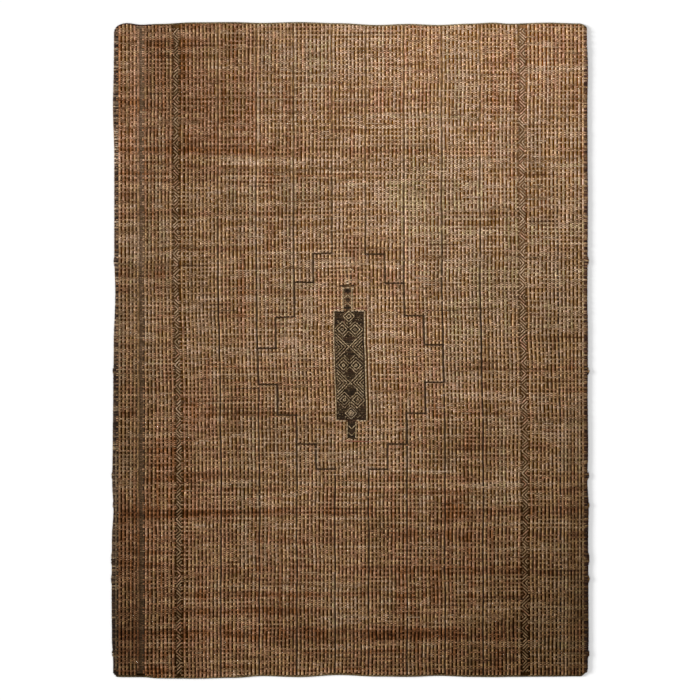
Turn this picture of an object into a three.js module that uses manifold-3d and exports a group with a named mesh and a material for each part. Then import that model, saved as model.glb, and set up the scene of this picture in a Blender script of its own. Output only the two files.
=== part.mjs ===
// A flat-woven jute rug, about 1.8 by 2.5 metres, lying flat with its face up.
// X runs across the rug from selvedge to selvedge, Y along it from hem to hem, Z up, in millimetres.
// The origin is under the middle of the rug, on the surface that it lies on.
// The whole rug is one cloth: fat jute warps stand up as ribs on its face, with a plain strip and two zigzag
// bands between them, a stepped outline of laid-in cords round a dark panel, woven selvedges and turned hems.

import * as THREE from "three";
import { mergeVertices } from "three/addons/utils/BufferGeometryUtils.js";
import Module from "manifold-3d";

// Outline
const HALF_WIDTH = 900;
const HALF_LENGTH = 1240;
const SELVEDGE_WIDTH = 13;
const HEM_WIDTH = 8;

// Thickness
const RIB_TOP = 8;
const GAP_FLOOR = 5;
const PLAIN_TOP = 6.4;
const SELVEDGE_TOP = 6.8;
const HEM_TOP = 5.4;
const RIM_MIDDLE = 3.2;
const RIM_ROUND = 2.5;
const RIB_SLOPE = 4;
const RIB_END = 11;
const HAND = 0.35; // how far one rib's height strays from the next

// The ribs lean over to the right on their way down the rug, most of it near the middle
const LEAN = 6;
const LEAN_MIDDLE = -55;
const LEAN_LENGTH = 260;
const LEAN_FADES_FROM = 800;

// Resolution
const RIB_SPANS = 5;
const SIDE_STEP = 62;
const END_STEP = 66;
const CORNER_STEPS = 4;

// The face from the left selvedge to the right one
const RUNS = [
  { kind: "ribs", count: 5, width: 75 },
  { kind: "plain", count: 1, width: 27 },
  { kind: "ribs", count: 8, width: 112 },
  { kind: "zigzag", count: 1, width: 27 },
  { kind: "ribs", count: 1, width: 19 },
  { kind: "ribs", count: 9, width: 127 },
  { kind: "ribs", count: 10, width: 146 },
  { kind: "ribs", count: 10, width: 142 },
  { kind: "ribs", count: 10, width: 145 },
  { kind: "ribs", count: 9, width: 128 },
  { kind: "ribs", count: 10, width: 146 },
  { kind: "ribs", count: 10, width: 144 },
  { kind: "ribs", count: 10, width: 145 },
  { kind: "ribs", count: 10, width: 145 },
  { kind: "zigzag", count: 1, width: 31 },
  { kind: "ribs", count: 8, width: 119 },
  { kind: "ribs", count: 7, width: 98 },
];
const FACE_START = SELVEDGE_WIDTH - HALF_WIDTH;

// How far the selvedges stray outwards from the half width, from the foot of the rug up
const SIDES = [
  { y: -1200, left: 1, right: -3 },
  { y: -1100, left: 6, right: 0 },
  { y: -950, left: 7, right: 0 },
  { y: -720, left: 7, right: 0 },
  { y: -608, left: 2, right: 4 },
  { y: -500, left: 7, right: -2 },
  { y: -380, left: 5, right: 0 },
  { y: -150, left: 1, right: -1 },
  { y: 30, left: 1, right: 0 },
  { y: 220, left: -3, right: -2 },
  { y: 380, left: 2, right: -1 },
  { y: 560, left: 1, right: 0 },
  { y: 760, left: 1, right: -2 },
  { y: 950, left: 5, right: -3 },
  { y: 1080, left: 2, right: -1 },
  { y: 1200, left: 1, right: -5 },
];

// How far the hems stray outwards from the half length, from the left
const ENDS = [
  { x: -850, top: 2, bottom: -1 },
  { x: -800, top: -5, bottom: 0 },
  { x: -730, top: -2, bottom: 5 },
  { x: -600, top: 5, bottom: 6 },
  { x: -450, top: 6, bottom: 3 },
  { x: -340, top: 3, bottom: -4 },
  { x: -200, top: 6, bottom: -1 },
  { x: -50, top: 2, bottom: -8 },
  { x: 100, top: -5, bottom: -1 },
  { x: 220, top: -1, bottom: -1 },
  { x: 330, top: -5, bottom: -5 },
  { x: 450, top: -1, bottom: -1 },
  { x: 540, top: 3, bottom: -1 },
  { x: 600, top: -1, bottom: -2 },
  { x: 750, top: 3, bottom: -2 },
  { x: 860, top: 0, bottom: -3 },
];

// Where a thick weft turns back over both selvedges and stands out as a small loop
const LOOPS = [
  { y: 338, reach: 907, height: 20 },
  { y: -80, reach: 910, height: 18 },
  { y: -477, reach: 910, height: 20 },
  { y: -589, reach: 911, height: 16 },
  { y: -794, reach: 913, height: 22 },
  { y: -870, reach: 911, height: 18 },
  { y: -1155, reach: 914, height: 26 },
];

// The corners: how far the rounding reaches along each edge, and 2 for round or 1 for a straight cut
const CORNERS = [
  { sideways: -1, endways: 1, acrossX: 46, alongY: 34, roundness: 2 },
  { sideways: 1, endways: 1, acrossX: 34, alongY: 36, roundness: 2 },
  { sideways: 1, endways: -1, acrossX: 26, alongY: 30, roundness: 1.2 },
  { sideways: -1, endways: -1, acrossX: 14, alongY: 16, roundness: 2 },
];

// The stepped outline round the middle: where each level cord lies, and the lines between runs of five ribs
const STEP_LINES = { left: [-67, -139.5, -212, -283, -354], right: [61, 134, 207, 279, 351] };
const STEP_LEVELS = {
  left: [365, 255, 122, 4, -133, -247, -357, -452],
  right: [361, 251, 129, 19, -122, -239, -357, -452],
};
const CORD_WIDTH = 5;
const CORD_TOP = 8.7;

// The dark panel in the middle, its lozenges, and the two smaller pieces above and below it
const PANEL = { x: -5, y: -60, width: 114, length: 416 };
const TONGUES = [
  { x: -10, y: 197, width: 32, length: 98 },
  { x: -3, y: -303, width: 32, length: 70 },
];
const PANEL_TOP = 6.8;
const LOZENGE_TOP = 7.8;
const LOZENGE_BAR = 5;
const LOZENGES = [
  { x: 0, y: 190, reach: 18 },
  { x: -24, y: 136, reach: 22 },
  { x: 24, y: 136, reach: 22 },
  { x: 0, y: 96, reach: 26 },
  { x: 0, y: 36, reach: 24 },
  { x: -24, y: -2, reach: 22 },
  { x: 24, y: -2, reach: 22 },
  { x: 0, y: -44, reach: 26 },
  { x: 0, y: -98, reach: 24 },
  { x: -24, y: -136, reach: 22 },
  { x: 24, y: -136, reach: 22 },
  { x: 0, y: -184, reach: 20 },
];

// The raised zigzag of the two bands
const ZIGZAG_RISE = 42;
const ZIGZAG_BAR = 6;
const ZIGZAG_TOP = 7.8;
const ZIGZAG_MARGIN = 4;

const BURIED = 2.5; // where the underside of what stands on the cloth lies inside it
const CLEAR_ABOVE = 12; // past everything on the face
const SAME_POINT = 1e-4;

const lean = (y) => -LEAN * Math.tanh((y - LEAN_MIDDLE) / LEAN_LENGTH);

function leaned(x, y) {
  const fade = 1 - (Math.abs(x) - LEAN_FADES_FROM) / (-FACE_START - LEAN_FADES_FROM);
  return x + lean(y) * THREE.MathUtils.clamp(fade, 0, 1);
}

// An even scatter from -1 to 1 that is the same each time
function stray(a, b) {
  const wave = Math.sin(a * 12.9898 + b * 78.233) * 43758.5453;
  return 2 * (wave - Math.floor(wave)) - 1;
}

// Eases from row to row of a table whose rows are in order of their place column
function follow(rows, place, column, at) {
  const next = rows.findIndex((row) => row[place] >= at);
  if (next === 0) return rows[0][column];
  if (next < 0) return rows.at(-1)[column];
  const [a, b] = [rows[next - 1], rows[next]];
  const share = THREE.MathUtils.smoothstep(at, a[place], b[place]);
  return a[column] + (b[column] - a[column]) * share;
}

// The outline

const sideEdge = (sideways, y) =>
  sideways * (HALF_WIDTH + follow(SIDES, "y", sideways < 0 ? "left" : "right", y));
const endEdge = (endways, x) =>
  endways * (HALF_LENGTH + follow(ENDS, "x", endways > 0 ? "top" : "bottom", x));

// The end of a warp at x, where the corner's rounding brings it in from the hem's edge
function endOfWarp(endways, x) {
  const corner = CORNERS.find((c) => c.endways === endways && c.sideways === (x < 0 ? -1 : 1));
  const edge = endEdge(endways, x);
  const past = Math.abs(x) - (HALF_WIDTH - corner.acrossX);
  if (past <= 0) return edge;
  const share = Math.min(past / corner.acrossX, 1);
  const height = Math.pow(1 - Math.pow(share, corner.roundness), 1 / corner.roundness);
  return edge - endways * corner.alongY * (1 - height);
}

function rimPoint(x, y, inX, inY, top) {
  return { x, y, inX, inY, top };
}

// One side from its first corner to its second, with a step every SIDE_STEP and three points for each loop
function sidePoints(sideways, from, to) {
  const count = Math.round(Math.abs(to - from) / SIDE_STEP);
  const even = Array.from({ length: count + 1 }, (_, i) => from + ((to - from) * i) / count);
  const clear = even.filter((y, i) => {
    const near = LOOPS.some((loop) => Math.abs(loop.y - y) < loop.height);
    return i === 0 || i === count || !near;
  });
  const ordinary = clear.map((y) => rimPoint(sideEdge(sideways, y), y, -sideways, 0, SELVEDGE_TOP));
  const loops = LOOPS.flatMap(({ y, reach, height }) => [
    rimPoint(sideEdge(sideways, y), y + height / 2, -sideways, 0, SELVEDGE_TOP),
    rimPoint(sideways * reach, y, -sideways, 0, SELVEDGE_TOP),
    rimPoint(sideEdge(sideways, y), y - height / 2, -sideways, 0, SELVEDGE_TOP),
  ]);
  return [...ordinary, ...loops].sort((a, b) => (b.y - a.y) * Math.sign(from - to));
}

function endPoints(endways, from, to) {
  const count = Math.round(Math.abs(to - from) / END_STEP);
  return Array.from({ length: count + 1 }, (_, i) => {
    const x = from + ((to - from) * i) / count;
    return rimPoint(x, endEdge(endways, x), 0, -endways, HEM_TOP);
  });
}

// The points inside a corner's rounding, from the side towards the hem
function cornerPoints({ sideways, endways, acrossX, alongY, roundness }) {
  const side = sideEdge(sideways, endways * (HALF_LENGTH - alongY));
  const end = endEdge(endways, sideways * (HALF_WIDTH - acrossX));
  const points = [];
  for (let i = 1; i < CORNER_STEPS; i++) {
    const turn = ((Math.PI / 2) * i) / CORNER_STEPS;
    const across = Math.pow(Math.cos(turn), 2 / roundness);
    const along = Math.pow(Math.sin(turn), 2 / roundness);
    const x = side - sideways * acrossX * (1 - across);
    const y = end - endways * alongY * (1 - along);
    const top = THREE.MathUtils.lerp(SELVEDGE_TOP, HEM_TOP, i / CORNER_STEPS);
    points.push(rimPoint(x, y, -sideways * Math.cos(turn), -endways * Math.sin(turn), top));
  }
  return points;
}

const [topLeft, topRight, bottomRight, bottomLeft] = CORNERS;
const sideFrom = (corner) => corner.endways * (HALF_LENGTH - corner.alongY);
const endFrom = (corner) => corner.sideways * (HALF_WIDTH - corner.acrossX);

// The four edges and the four corners, clockwise from the foot of the left side as seen from above
const rim = {
  left: sidePoints(-1, sideFrom(bottomLeft), sideFrom(topLeft)),
  topLeft: cornerPoints(topLeft),
  top: endPoints(1, endFrom(topLeft), endFrom(topRight)),
  topRight: cornerPoints(topRight).reverse(),
  right: sidePoints(1, sideFrom(topRight), sideFrom(bottomRight)),
  bottomRight: cornerPoints(bottomRight),
  bottom: endPoints(-1, endFrom(bottomRight), endFrom(bottomLeft)),
  bottomLeft: cornerPoints(bottomLeft).reverse(),
};

// The face

// Lines along the warps: the floor of each gap, and the two edges of each rib's or strip's top
function warpLines() {
  const lines = [];
  let x = FACE_START;
  for (const { kind, count, width } of RUNS) {
    const pitch = width / count;
    const top = kind === "ribs" ? RIB_TOP : PLAIN_TOP;
    const slope = kind === "ribs" ? RIB_SLOPE : RIB_SLOPE / 2;
    for (let i = 0; i < count; i++) {
      lines.push({ x, top: GAP_FLOOR }, { x: x + slope, top }, { x: x + pitch - slope, top });
      x += pitch;
    }
  }
  lines.push({ x, top: GAP_FLOOR });
  return lines;
}

// The points of one line from the bottom hem to the top hem
function pointsOfLine({ x, top }, index) {
  const low = endOfWarp(-1, x) + HEM_WIDTH;
  const high = endOfWarp(1, x) - HEM_WIDTH;
  const places = [low + RIB_END];
  for (let i = 1; i < RIB_SPANS; i++) places.push(low + ((high - low) * i) / RIB_SPANS);
  places.push(high - RIB_END);
  const rib = Math.floor(index / 3);
  const height = (i) => top + (top === RIB_TOP ? HAND * stray(rib, i) : 0);
  const atHem = Math.min(top, HEM_TOP);
  return [
    new THREE.Vector3(leaned(x, low), low, atHem),
    ...places.map((y, i) => new THREE.Vector3(leaned(x, y), y, height(i))),
    new THREE.Vector3(leaned(x, high), high, atHem),
  ];
}

const faces = [];
const triangle = (a, b, c) => faces.push(a, b, c);

function quad(a, b, c, d) {
  triangle(a, b, c);
  triangle(a, c, d);
}

// Fills between two rows of points that run the same way, with the second row on the left of the first
function fillBetween(first, second) {
  const share = (row, i) => row[0].distanceTo(row[i]) / row[0].distanceTo(row.at(-1));
  let [i, j] = [0, 0];
  while (i < first.length - 1 || j < second.length - 1) {
    const onFirst =
      j === second.length - 1 || (i < first.length - 1 && share(first, i + 1) <= share(second, j + 1));
    triangle(first[i], onFirst ? first[i + 1] : second[j + 1], second[j]);
    if (onFirst) i++;
    else j++;
  }
}

const atLevel = (point, inset, z) =>
  new THREE.Vector3(point.x + point.inX * inset, point.y + point.inY * inset, z);
const rimTops = (points) => points.map((p) => atLevel(p, RIM_ROUND, p.top));

const columns = warpLines().map(pointsOfLine);
for (let c = 0; c + 1 < columns.length; c++) {
  for (let r = 0; r + 1 < columns[c].length; r++) {
    quad(columns[c][r], columns[c + 1][r], columns[c + 1][r + 1], columns[c][r + 1]);
  }
}

// The selvedges and hems round the face, and a fan at each corner
const lastColumn = columns.at(-1);
fillBetween(columns[0], rimTops(rim.left));
fillBetween(columns.map((column) => column.at(-1)), rimTops(rim.top));
fillBetween([...lastColumn].reverse(), rimTops(rim.right));
fillBetween(columns.map((column) => column[0]).reverse(), rimTops(rim.bottom));

function fan(middle, before, corner, after) {
  const row = rimTops([before.at(-1), ...corner, after[0]]);
  for (let i = 0; i + 1 < row.length; i++) triangle(middle, row[i + 1], row[i]);
}

fan(columns[0].at(-1), rim.left, rim.topLeft, rim.top);
fan(lastColumn.at(-1), rim.top, rim.topRight, rim.right);
fan(lastColumn[0], rim.right, rim.bottomRight, rim.bottom);
fan(columns[0][0], rim.bottom, rim.bottomLeft, rim.left);

// The rounded rim and the flat underside
const outline = Object.values(rim).flat();
const rings = [
  outline.map((p) => atLevel(p, RIM_ROUND, p.top)),
  outline.map((p) => atLevel(p, 0, RIM_MIDDLE)),
  outline.map((p) => atLevel(p, RIM_ROUND, 0)),
];
for (let ring = 0; ring + 1 < rings.length; ring++) {
  const [upper, lower] = [rings[ring], rings[ring + 1]];
  for (let i = 0; i < outline.length; i++) {
    const next = (i + 1) % outline.length;
    quad(upper[i], upper[next], lower[next], lower[i]);
  }
}
const base = rings.at(-1);
for (const [a, b, c] of THREE.ShapeUtils.triangulateShape(base, [])) triangle(base[a], base[c], base[b]);

const clothGeometry = new THREE.BufferGeometry().setFromPoints(faces);

// What stands on the cloth

// A flat piece of the cloth between two heights, its outline given before the lean
function raised(points, top, hole) {
  const lay = ([x, y]) => new THREE.Vector2(leaned(x, y), y);
  const shape = new THREE.Shape(points.map(lay));
  if (hole) shape.holes.push(new THREE.Path(hole.map(lay)));
  const geometry = new THREE.ExtrudeGeometry(shape, { depth: top - BURIED, bevelEnabled: false });
  return geometry.translate(0, 0, BURIED);
}

const rectangle = (x, y, width, length) => [
  [x - width / 2, y - length / 2],
  [x + width / 2, y - length / 2],
  [x + width / 2, y + length / 2],
  [x - width / 2, y + length / 2],
];

const lozenge = (x, y, reach) => [
  [x - reach, y],
  [x, y - reach],
  [x + reach, y],
  [x, y + reach],
];

// The level cords of the stepped outline and the upright ones that join them
function steppedCords(side) {
  const lines = STEP_LINES[side];
  const levels = STEP_LEVELS[side];
  const widest = lines.length - 1;
  return levels.flatMap((level, i) => {
    const column = i < widest ? i : levels.length - 1 - i;
    const middle = (lines[column] + lines[column + 1]) / 2;
    const width = Math.abs(lines[column + 1] - lines[column]) + CORD_WIDTH;
    const cords = [raised(rectangle(middle, level, width, CORD_WIDTH), CORD_TOP)];
    if (i + 1 < levels.length) {
      const line = lines[i < widest ? column + 1 : column];
      const height = level - levels[i + 1];
      cords.push(raised(rectangle(line, level - height / 2, CORD_WIDTH, height), RIB_TOP));
    }
    return cords;
  });
}

function zigzagRidge(left, width) {
  const near = left + ZIGZAG_MARGIN;
  const far = left + width - ZIGZAG_MARGIN - ZIGZAG_BAR;
  const low = endOfWarp(-1, left) + HEM_WIDTH + RIB_END;
  const count = Math.floor((endOfWarp(1, left) - HEM_WIDTH - RIB_END - low) / ZIGZAG_RISE);
  const edge = Array.from({ length: count + 1 }, (_, i) => [i % 2 ? far : near, low + i * ZIGZAG_RISE]);
  const other = edge.map(([x, y]) => [x + ZIGZAG_BAR, y]);
  return raised([...other, ...edge.reverse()], ZIGZAG_TOP);
}

const zigzags = [];
let runStart = FACE_START;
for (const { kind, width } of RUNS) {
  if (kind === "zigzag") zigzags.push(zigzagRidge(runStart, width));
  runStart += width;
}

const patches = [PANEL, ...TONGUES].map(({ x, y, width, length }) => rectangle(x, y, width, length));
const lozenges = LOZENGES.map(({ x, y, reach }) =>
  raised(
    lozenge(PANEL.x + x, PANEL.y + y, reach),
    LOZENGE_TOP,
    lozenge(PANEL.x + x, PANEL.y + y, reach - LOZENGE_BAR * Math.SQRT2),
  ),
);

// Joining it all into one closed solid
const wasm = await Module();
wasm.setup();

function solid(geometry) {
  const bare = geometry.clone();
  bare.deleteAttribute("normal");
  bare.deleteAttribute("uv");
  const merged = mergeVertices(bare, SAME_POINT);
  const mesh = { numProp: 3, vertProperties: merged.attributes.position.array };
  return new wasm.Manifold(new wasm.Mesh({ ...mesh, triVerts: new Uint32Array(merged.index.array) }));
}

function geometryOf(manifold) {
  const { vertProperties, triVerts } = manifold.getMesh();
  const geometry = new THREE.BufferGeometry();
  geometry.setAttribute("position", new THREE.BufferAttribute(vertProperties, 3));
  geometry.setIndex(new THREE.BufferAttribute(triVerts, 1));
  return geometry;
}

let cloth = solid(clothGeometry);
for (const patch of patches) {
  const above = raised(patch, CLEAR_ABOVE).translate(0, 0, PANEL_TOP - BURIED);
  cloth = cloth.subtract(solid(above)).add(solid(raised(patch, PANEL_TOP)));
}
const additions = [...steppedCords("left"), ...steppedCords("right"), ...zigzags, ...lozenges];
for (const addition of additions) cloth = cloth.add(solid(addition));

const jute = new THREE.MeshStandardMaterial({ color: 0x9c7d56, roughness: 0.95, metalness: 0 });
const rugCloth = new THREE.Mesh(geometryOf(cloth), jute);
rugCloth.name = "rug_cloth";

const rug = new THREE.Group();
rug.add(rugCloth);

export default rug;
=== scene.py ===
# A flat-woven jute rug, 1.8 by 2.5 metres, lying flat with its face up.
# X runs across the rug, Y along it and Z up. Sizes are in millimetres until a mesh is made of them.

import math

import bpy
import numpy as np
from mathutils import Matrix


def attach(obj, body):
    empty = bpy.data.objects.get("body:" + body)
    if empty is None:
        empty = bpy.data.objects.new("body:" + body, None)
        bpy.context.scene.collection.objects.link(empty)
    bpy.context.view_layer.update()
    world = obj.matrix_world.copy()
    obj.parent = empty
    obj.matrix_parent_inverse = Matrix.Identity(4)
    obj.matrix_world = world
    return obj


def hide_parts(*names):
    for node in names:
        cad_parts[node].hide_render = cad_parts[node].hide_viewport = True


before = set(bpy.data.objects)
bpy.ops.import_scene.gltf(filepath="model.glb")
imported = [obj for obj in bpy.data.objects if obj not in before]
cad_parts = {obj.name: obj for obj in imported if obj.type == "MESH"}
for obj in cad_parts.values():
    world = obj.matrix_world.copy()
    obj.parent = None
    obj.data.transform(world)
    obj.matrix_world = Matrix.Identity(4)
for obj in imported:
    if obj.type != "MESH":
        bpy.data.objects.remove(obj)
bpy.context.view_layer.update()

# The ground cloth
# The rug is one cloth of jute, woven edge to edge on a narrow brown weft. Of the ground itself only the floor
# of the gaps between the ribs shows, and the underside, where the warps make low, flat ribs.

MM = 0.001
HALF_WIDTH = 900
HALF_LENGTH = 1240
SIDES = {
    "y": [-1200, -1100, -950, -720, -608, -500, -380, -150, 30, 220, 380, 560, 760, 950, 1080, 1200],
    "left": [5, 10, 11, 10, 4, 9, 7, 5, 3, -3, 1, 1, 1, 6, 3, 2],
    "right": [0, 3, 2, 1, 3, -2, 1, -1, 0, -2, -1, 0, -1, -2, 0, -4],
}
ENDS = {
    "x": [-850, -800, -730, -600, -450, -340, -200, -50, 100, 220, 330, 450, 540, 600, 750, 860],
    "top": [3, -3, 0, 6, 7, 4, 7, 3, -4, 0, -4, 1, 5, 1, 5, 2],
    "bottom": [4, 4, 9, 10, 7, 0, 4, -4, 2, 3, -1, 3, 4, 3, 2, 1],
}
CORNERS = [
    {"side": -1, "end": 1, "across": 46, "along": 34, "roundness": 2},
    {"side": 1, "end": 1, "across": 34, "along": 36, "roundness": 2},
    {"side": 1, "end": -1, "across": 26, "along": 30, "roundness": 1.2},
    {"side": -1, "end": -1, "across": 14, "along": 16, "roundness": 2},
]
RUNS = [
    {"kind": "ribs", "count": 5, "width": 72},
    {"kind": "plain", "count": 1, "width": 28},
    {"kind": "ribs", "count": 8, "width": 114},
    {"kind": "zigzag", "count": 1, "width": 27},
    {"kind": "ribs", "count": 1, "width": 19},
    {"kind": "ribs", "count": 9, "width": 127},
    {"kind": "ribs", "count": 10, "width": 146},
    {"kind": "ribs", "count": 10, "width": 142},
    {"kind": "ribs", "count": 10, "width": 145},
    {"kind": "ribs", "count": 9, "width": 128},
    {"kind": "ribs", "count": 10, "width": 146},
    {"kind": "ribs", "count": 10, "width": 144},
    {"kind": "ribs", "count": 10, "width": 145},
    {"kind": "ribs", "count": 10, "width": 145},
    {"kind": "zigzag", "count": 1, "width": 31},
    {"kind": "ribs", "count": 8, "width": 119},
    {"kind": "ribs", "count": 7, "width": 98},
]
FACE_START = -887
# Half of how far the warps lean over from foot to head, the height of its middle, and the length it takes
LEAN, LEAN_MIDDLE, LEAN_LENGTH = 6, -55, 260
# It fades out towards the sides, and earlier at the left, where the outer ribs and plain strip are upright
LEAN_FADES_FROM, LEAN_ENDS_AT = 800, 887
LEFT_LEAN_FADES_FROM, LEFT_LEAN_ENDS_AT = 670, 800
FLOOR_OF_GAPS = 4.4
UNDERSIDE_RELIEF = 0.9
RIM_MIDDLE, RIM_ROUND = 3.2, 2.5
GROUND_ROWS = 84
ROW = 7.6  # from one weft to the next


def follow(places, values, at):
    """Eases from each value of a table to the next, as the edge of a cloth wanders."""
    places, values = np.asarray(places, float), np.asarray(values, float)
    at = np.clip(at, places[0], places[-1])
    i = np.clip(np.searchsorted(places, at, side="right") - 1, 0, len(places) - 2)
    share = (at - places[i]) / (places[i + 1] - places[i])
    return values[i] + (values[i + 1] - values[i]) * share * share * (3 - 2 * share)


def patches(x, y, across, along, seed):
    """Unevenness from -1 to 1 in soft patches of about that size."""
    lattice = np.random.default_rng(seed).uniform(-1, 1, (int(3200 / along) + 3, int(2400 / across) + 3))
    u, v = (np.asarray(x, float) + 1200) / across, (np.asarray(y, float) + 1600) / along
    i, j = np.floor(u).astype(int), np.floor(v).astype(int)
    u, v = u - i, v - j
    u, v = u * u * (3 - 2 * u), v * v * (3 - 2 * v)
    low = lattice[j, i] * (1 - u) + lattice[j, i + 1] * u
    high = lattice[j + 1, i] * (1 - u) + lattice[j + 1, i + 1] * u
    return low * (1 - v) + high * v


def side_edge(side, y):
    return side * (HALF_WIDTH + follow(SIDES["y"], SIDES["left" if side < 0 else "right"], y))


def end_edge(end, x):
    """Where the cloth ends along Y at x, the rounding of the corners included."""
    edge = HALF_LENGTH + follow(ENDS["x"], ENDS["top" if end > 0 else "bottom"], x)
    for corner in CORNERS:
        if corner["end"] == end:
            past = np.clip((corner["side"] * x - HALF_WIDTH) / corner["across"] + 1, 0, 1)
            height = (1 - past ** corner["roundness"]) ** (1 / corner["roundness"])
            edge = edge - corner["along"] * (1 - height)
    return end * edge


def laid(x, y):
    """Where a warp at x has drifted to by y: the lean down the rug and the hand's unevenness."""
    lean = -LEAN * np.tanh((y - LEAN_MIDDLE) / LEAN_LENGTH)
    drift = 1.7 * patches(x, y, 210, 110, 11) + 0.6 * patches(x, y, 14, 60, 12)
    drift = drift + 0.8 * patches(x, y, 90, 24, 13)
    fade = np.clip((LEAN_ENDS_AT - np.abs(x)) / (LEAN_ENDS_AT - LEAN_FADES_FROM), 0, 1)
    left_fade = np.clip((LEFT_LEAN_ENDS_AT + x) / (LEFT_LEAN_ENDS_AT - LEFT_LEAN_FADES_FROM), 0, 1)
    return x + lean * np.minimum(fade, left_fade) + drift * fade


def beaten(x, y):
    """Where the weft of y lies at x: the rows wave a little from side to side."""
    fade = np.clip((HALF_LENGTH - 20 - np.abs(y)) / 90, 0, 1)
    return y + (4.5 * patches(x, y, 430, 330, 21) + 1.2 * patches(x, y, 90, 140, 22)) * fade


# How bright the yarn is: full at the head and darker towards the foot, from browner jute and a painted
# fall-off of light
FOOT_BROWNING_AND_PAINTED_FALLOFF = {
    "y": [-1240, -1045, -722, -420, -114, 150, 494, 1087, 1240],
    "tone": [0.42, 0.44, 0.53, 0.62, 0.70, 0.78, 0.86, 0.92, 0.92],
}
# A painted pool of light: the yarn is brightest along a slant from the upper right down to the lower left,
# duller on both sides
PAINTED_POOL_MIDDLE, PAINTED_POOL_LEAN, PAINTED_POOL_FALL = 125, 0.30, 0.37
# Left of the plain strip, and beside the right selvedge, it changes more from head to foot
LEFT_BLOCK_END, RIGHT_BLOCK_START = -787, 824
LEFT_BLOCK = {"y": [-1100, -700, -150, 133, 418, 1000], "tone": [0.70, 0.86, 0.90, 0.98, 1.26, 1.42]}
RIGHT_BLOCK = {"y": [-1100, -437, 0, 700], "tone": [0.76, 0.84, 1.0, 1.06]}
# Rows woven with darker or paler weft, by the height of their middle: half their depth, and their tone, of
# whose difference from the rest this share shows
BAND_CONTRAST = 0.78
ROW_BANDS = [
    {"y": 1072, "half": 10, "tone": 1.10}, {"y": 940, "half": 12, "tone": 0.84},
    {"y": 882, "half": 14, "tone": 1.09}, {"y": 758, "half": 13, "tone": 0.84},
    {"y": 707, "half": 8, "tone": 1.08}, {"y": 668, "half": 6, "tone": 0.70},
    {"y": 623, "half": 13, "tone": 1.08}, {"y": 555, "half": 8, "tone": 1.07},
    {"y": 517, "half": 11, "tone": 0.85}, {"y": 380, "half": 10, "tone": 0.84},
    {"y": 327, "half": 9, "tone": 1.07}, {"y": 220, "half": 8, "tone": 0.86},
    {"y": 190, "half": 8, "tone": 1.07}, {"y": -68, "half": 8, "tone": 0.86},
    {"y": -152, "half": 11, "tone": 0.84}, {"y": -243, "half": 11, "tone": 0.84},
    {"y": -372, "half": 18, "tone": 0.86}, {"y": -418, "half": 9, "tone": 1.08},
    {"y": -479, "half": 17, "tone": 0.87}, {"y": -509, "half": 8, "tone": 1.08},
    {"y": -532, "half": 9, "tone": 0.84}, {"y": -555, "half": 8, "tone": 1.09},
    {"y": -616, "half": 17, "tone": 0.75}, {"y": -661, "half": 9, "tone": 1.10},
    {"y": -707, "half": 17, "tone": 0.86}, {"y": -752, "half": 9, "tone": 1.09},
    {"y": -836, "half": 22, "tone": 0.86}, {"y": -904, "half": 10, "tone": 1.09},
    {"y": -935, "half": 9, "tone": 0.84}, {"y": -996, "half": 9, "tone": 0.84},
    {"y": -1026, "half": 10, "tone": 1.10}, {"y": -1081, "half": 25, "tone": 0.72},
    {"y": -1125, "half": 9, "tone": 1.10}, {"y": -1148, "half": 9, "tone": 0.84},
    {"y": -1216, "half": 12, "tone": 0.80},
]


def row_tone(x, y):
    """The brightness of a row of weft against the rest: the bands, single rows and soft patches."""
    waved = y - 7 * patches(x, y, 520, 160, 31) - 2.5 * patches(x, y, 60, 90, 32)
    uneven = np.clip(0.9 + 0.7 * patches(x, y, 360, 50, 33), 0, 1.4)
    tone = 1 + 0.08 * patches(x, waved, 420, 12, 36) + 0.09 * patches(x, waved, 150, 8, 37)
    tone = tone + 0.07 * patches(x, waved, 45, 8, 38)
    for band in ROW_BANDS:
        inside = np.exp(-(((waved - band["y"]) / band["half"]) ** 4))
        tone = tone * (1 + BAND_CONTRAST * (band["tone"] - 1) * inside * uneven)
    return tone * (1 + 0.05 * patches(x, y, 260, 180, 34) + 0.04 * patches(x, y, 70, 50, 35))


def tone_of(x, y):
    """The brightness of the yarn at a place, from the browning and painted fall-off, the painted pool of
    light and the rows.
    """
    # painted pool of light, brightest along a slant from the upper right to the lower left
    off_painted_pool = np.abs(x - PAINTED_POOL_MIDDLE - PAINTED_POOL_LEAN * y) / 1000
    slant = 1 - PAINTED_POOL_FALL * off_painted_pool**1.3
    left = np.where(np.less(x, LEFT_BLOCK_END), follow(LEFT_BLOCK["y"], LEFT_BLOCK["tone"], y), 1)
    right = np.where(np.greater(x, RIGHT_BLOCK_START), follow(RIGHT_BLOCK["y"], RIGHT_BLOCK["tone"], y), 1)
    # browner jute with painted fall-off towards the foot, times the painted pool of light, the side blocks
    # and the rows
    return follow(FOOT_BROWNING_AND_PAINTED_FALLOFF["y"], FOOT_BROWNING_AND_PAINTED_FALLOFF["tone"], y) * slant * left * right * row_tone(x, y)


def linear(hex_colour, opacity=1.0):
    """An sRGB hex colour as the linear values that a shader takes."""
    channels = [int(hex_colour[i : i + 2], 16) / 255 for i in (1, 3, 5)]
    return [c / 12.92 if c <= 0.04045 else ((c + 0.055) / 1.055) ** 2.4 for c in channels] + [opacity]


def add_node(tree, kind, inputs=(), **settings):
    """Adds a node with its settings. inputs gives a value or another node's output for each socket."""
    made = tree.nodes.new(kind)
    for name, value in settings.items():
        setattr(made, name, value)
    for socket, value in dict(inputs).items():
        if isinstance(value, bpy.types.NodeSocket):
            tree.links.new(value, made.inputs[socket])
        else:
            made.inputs[socket].default_value = value
    return made


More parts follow.
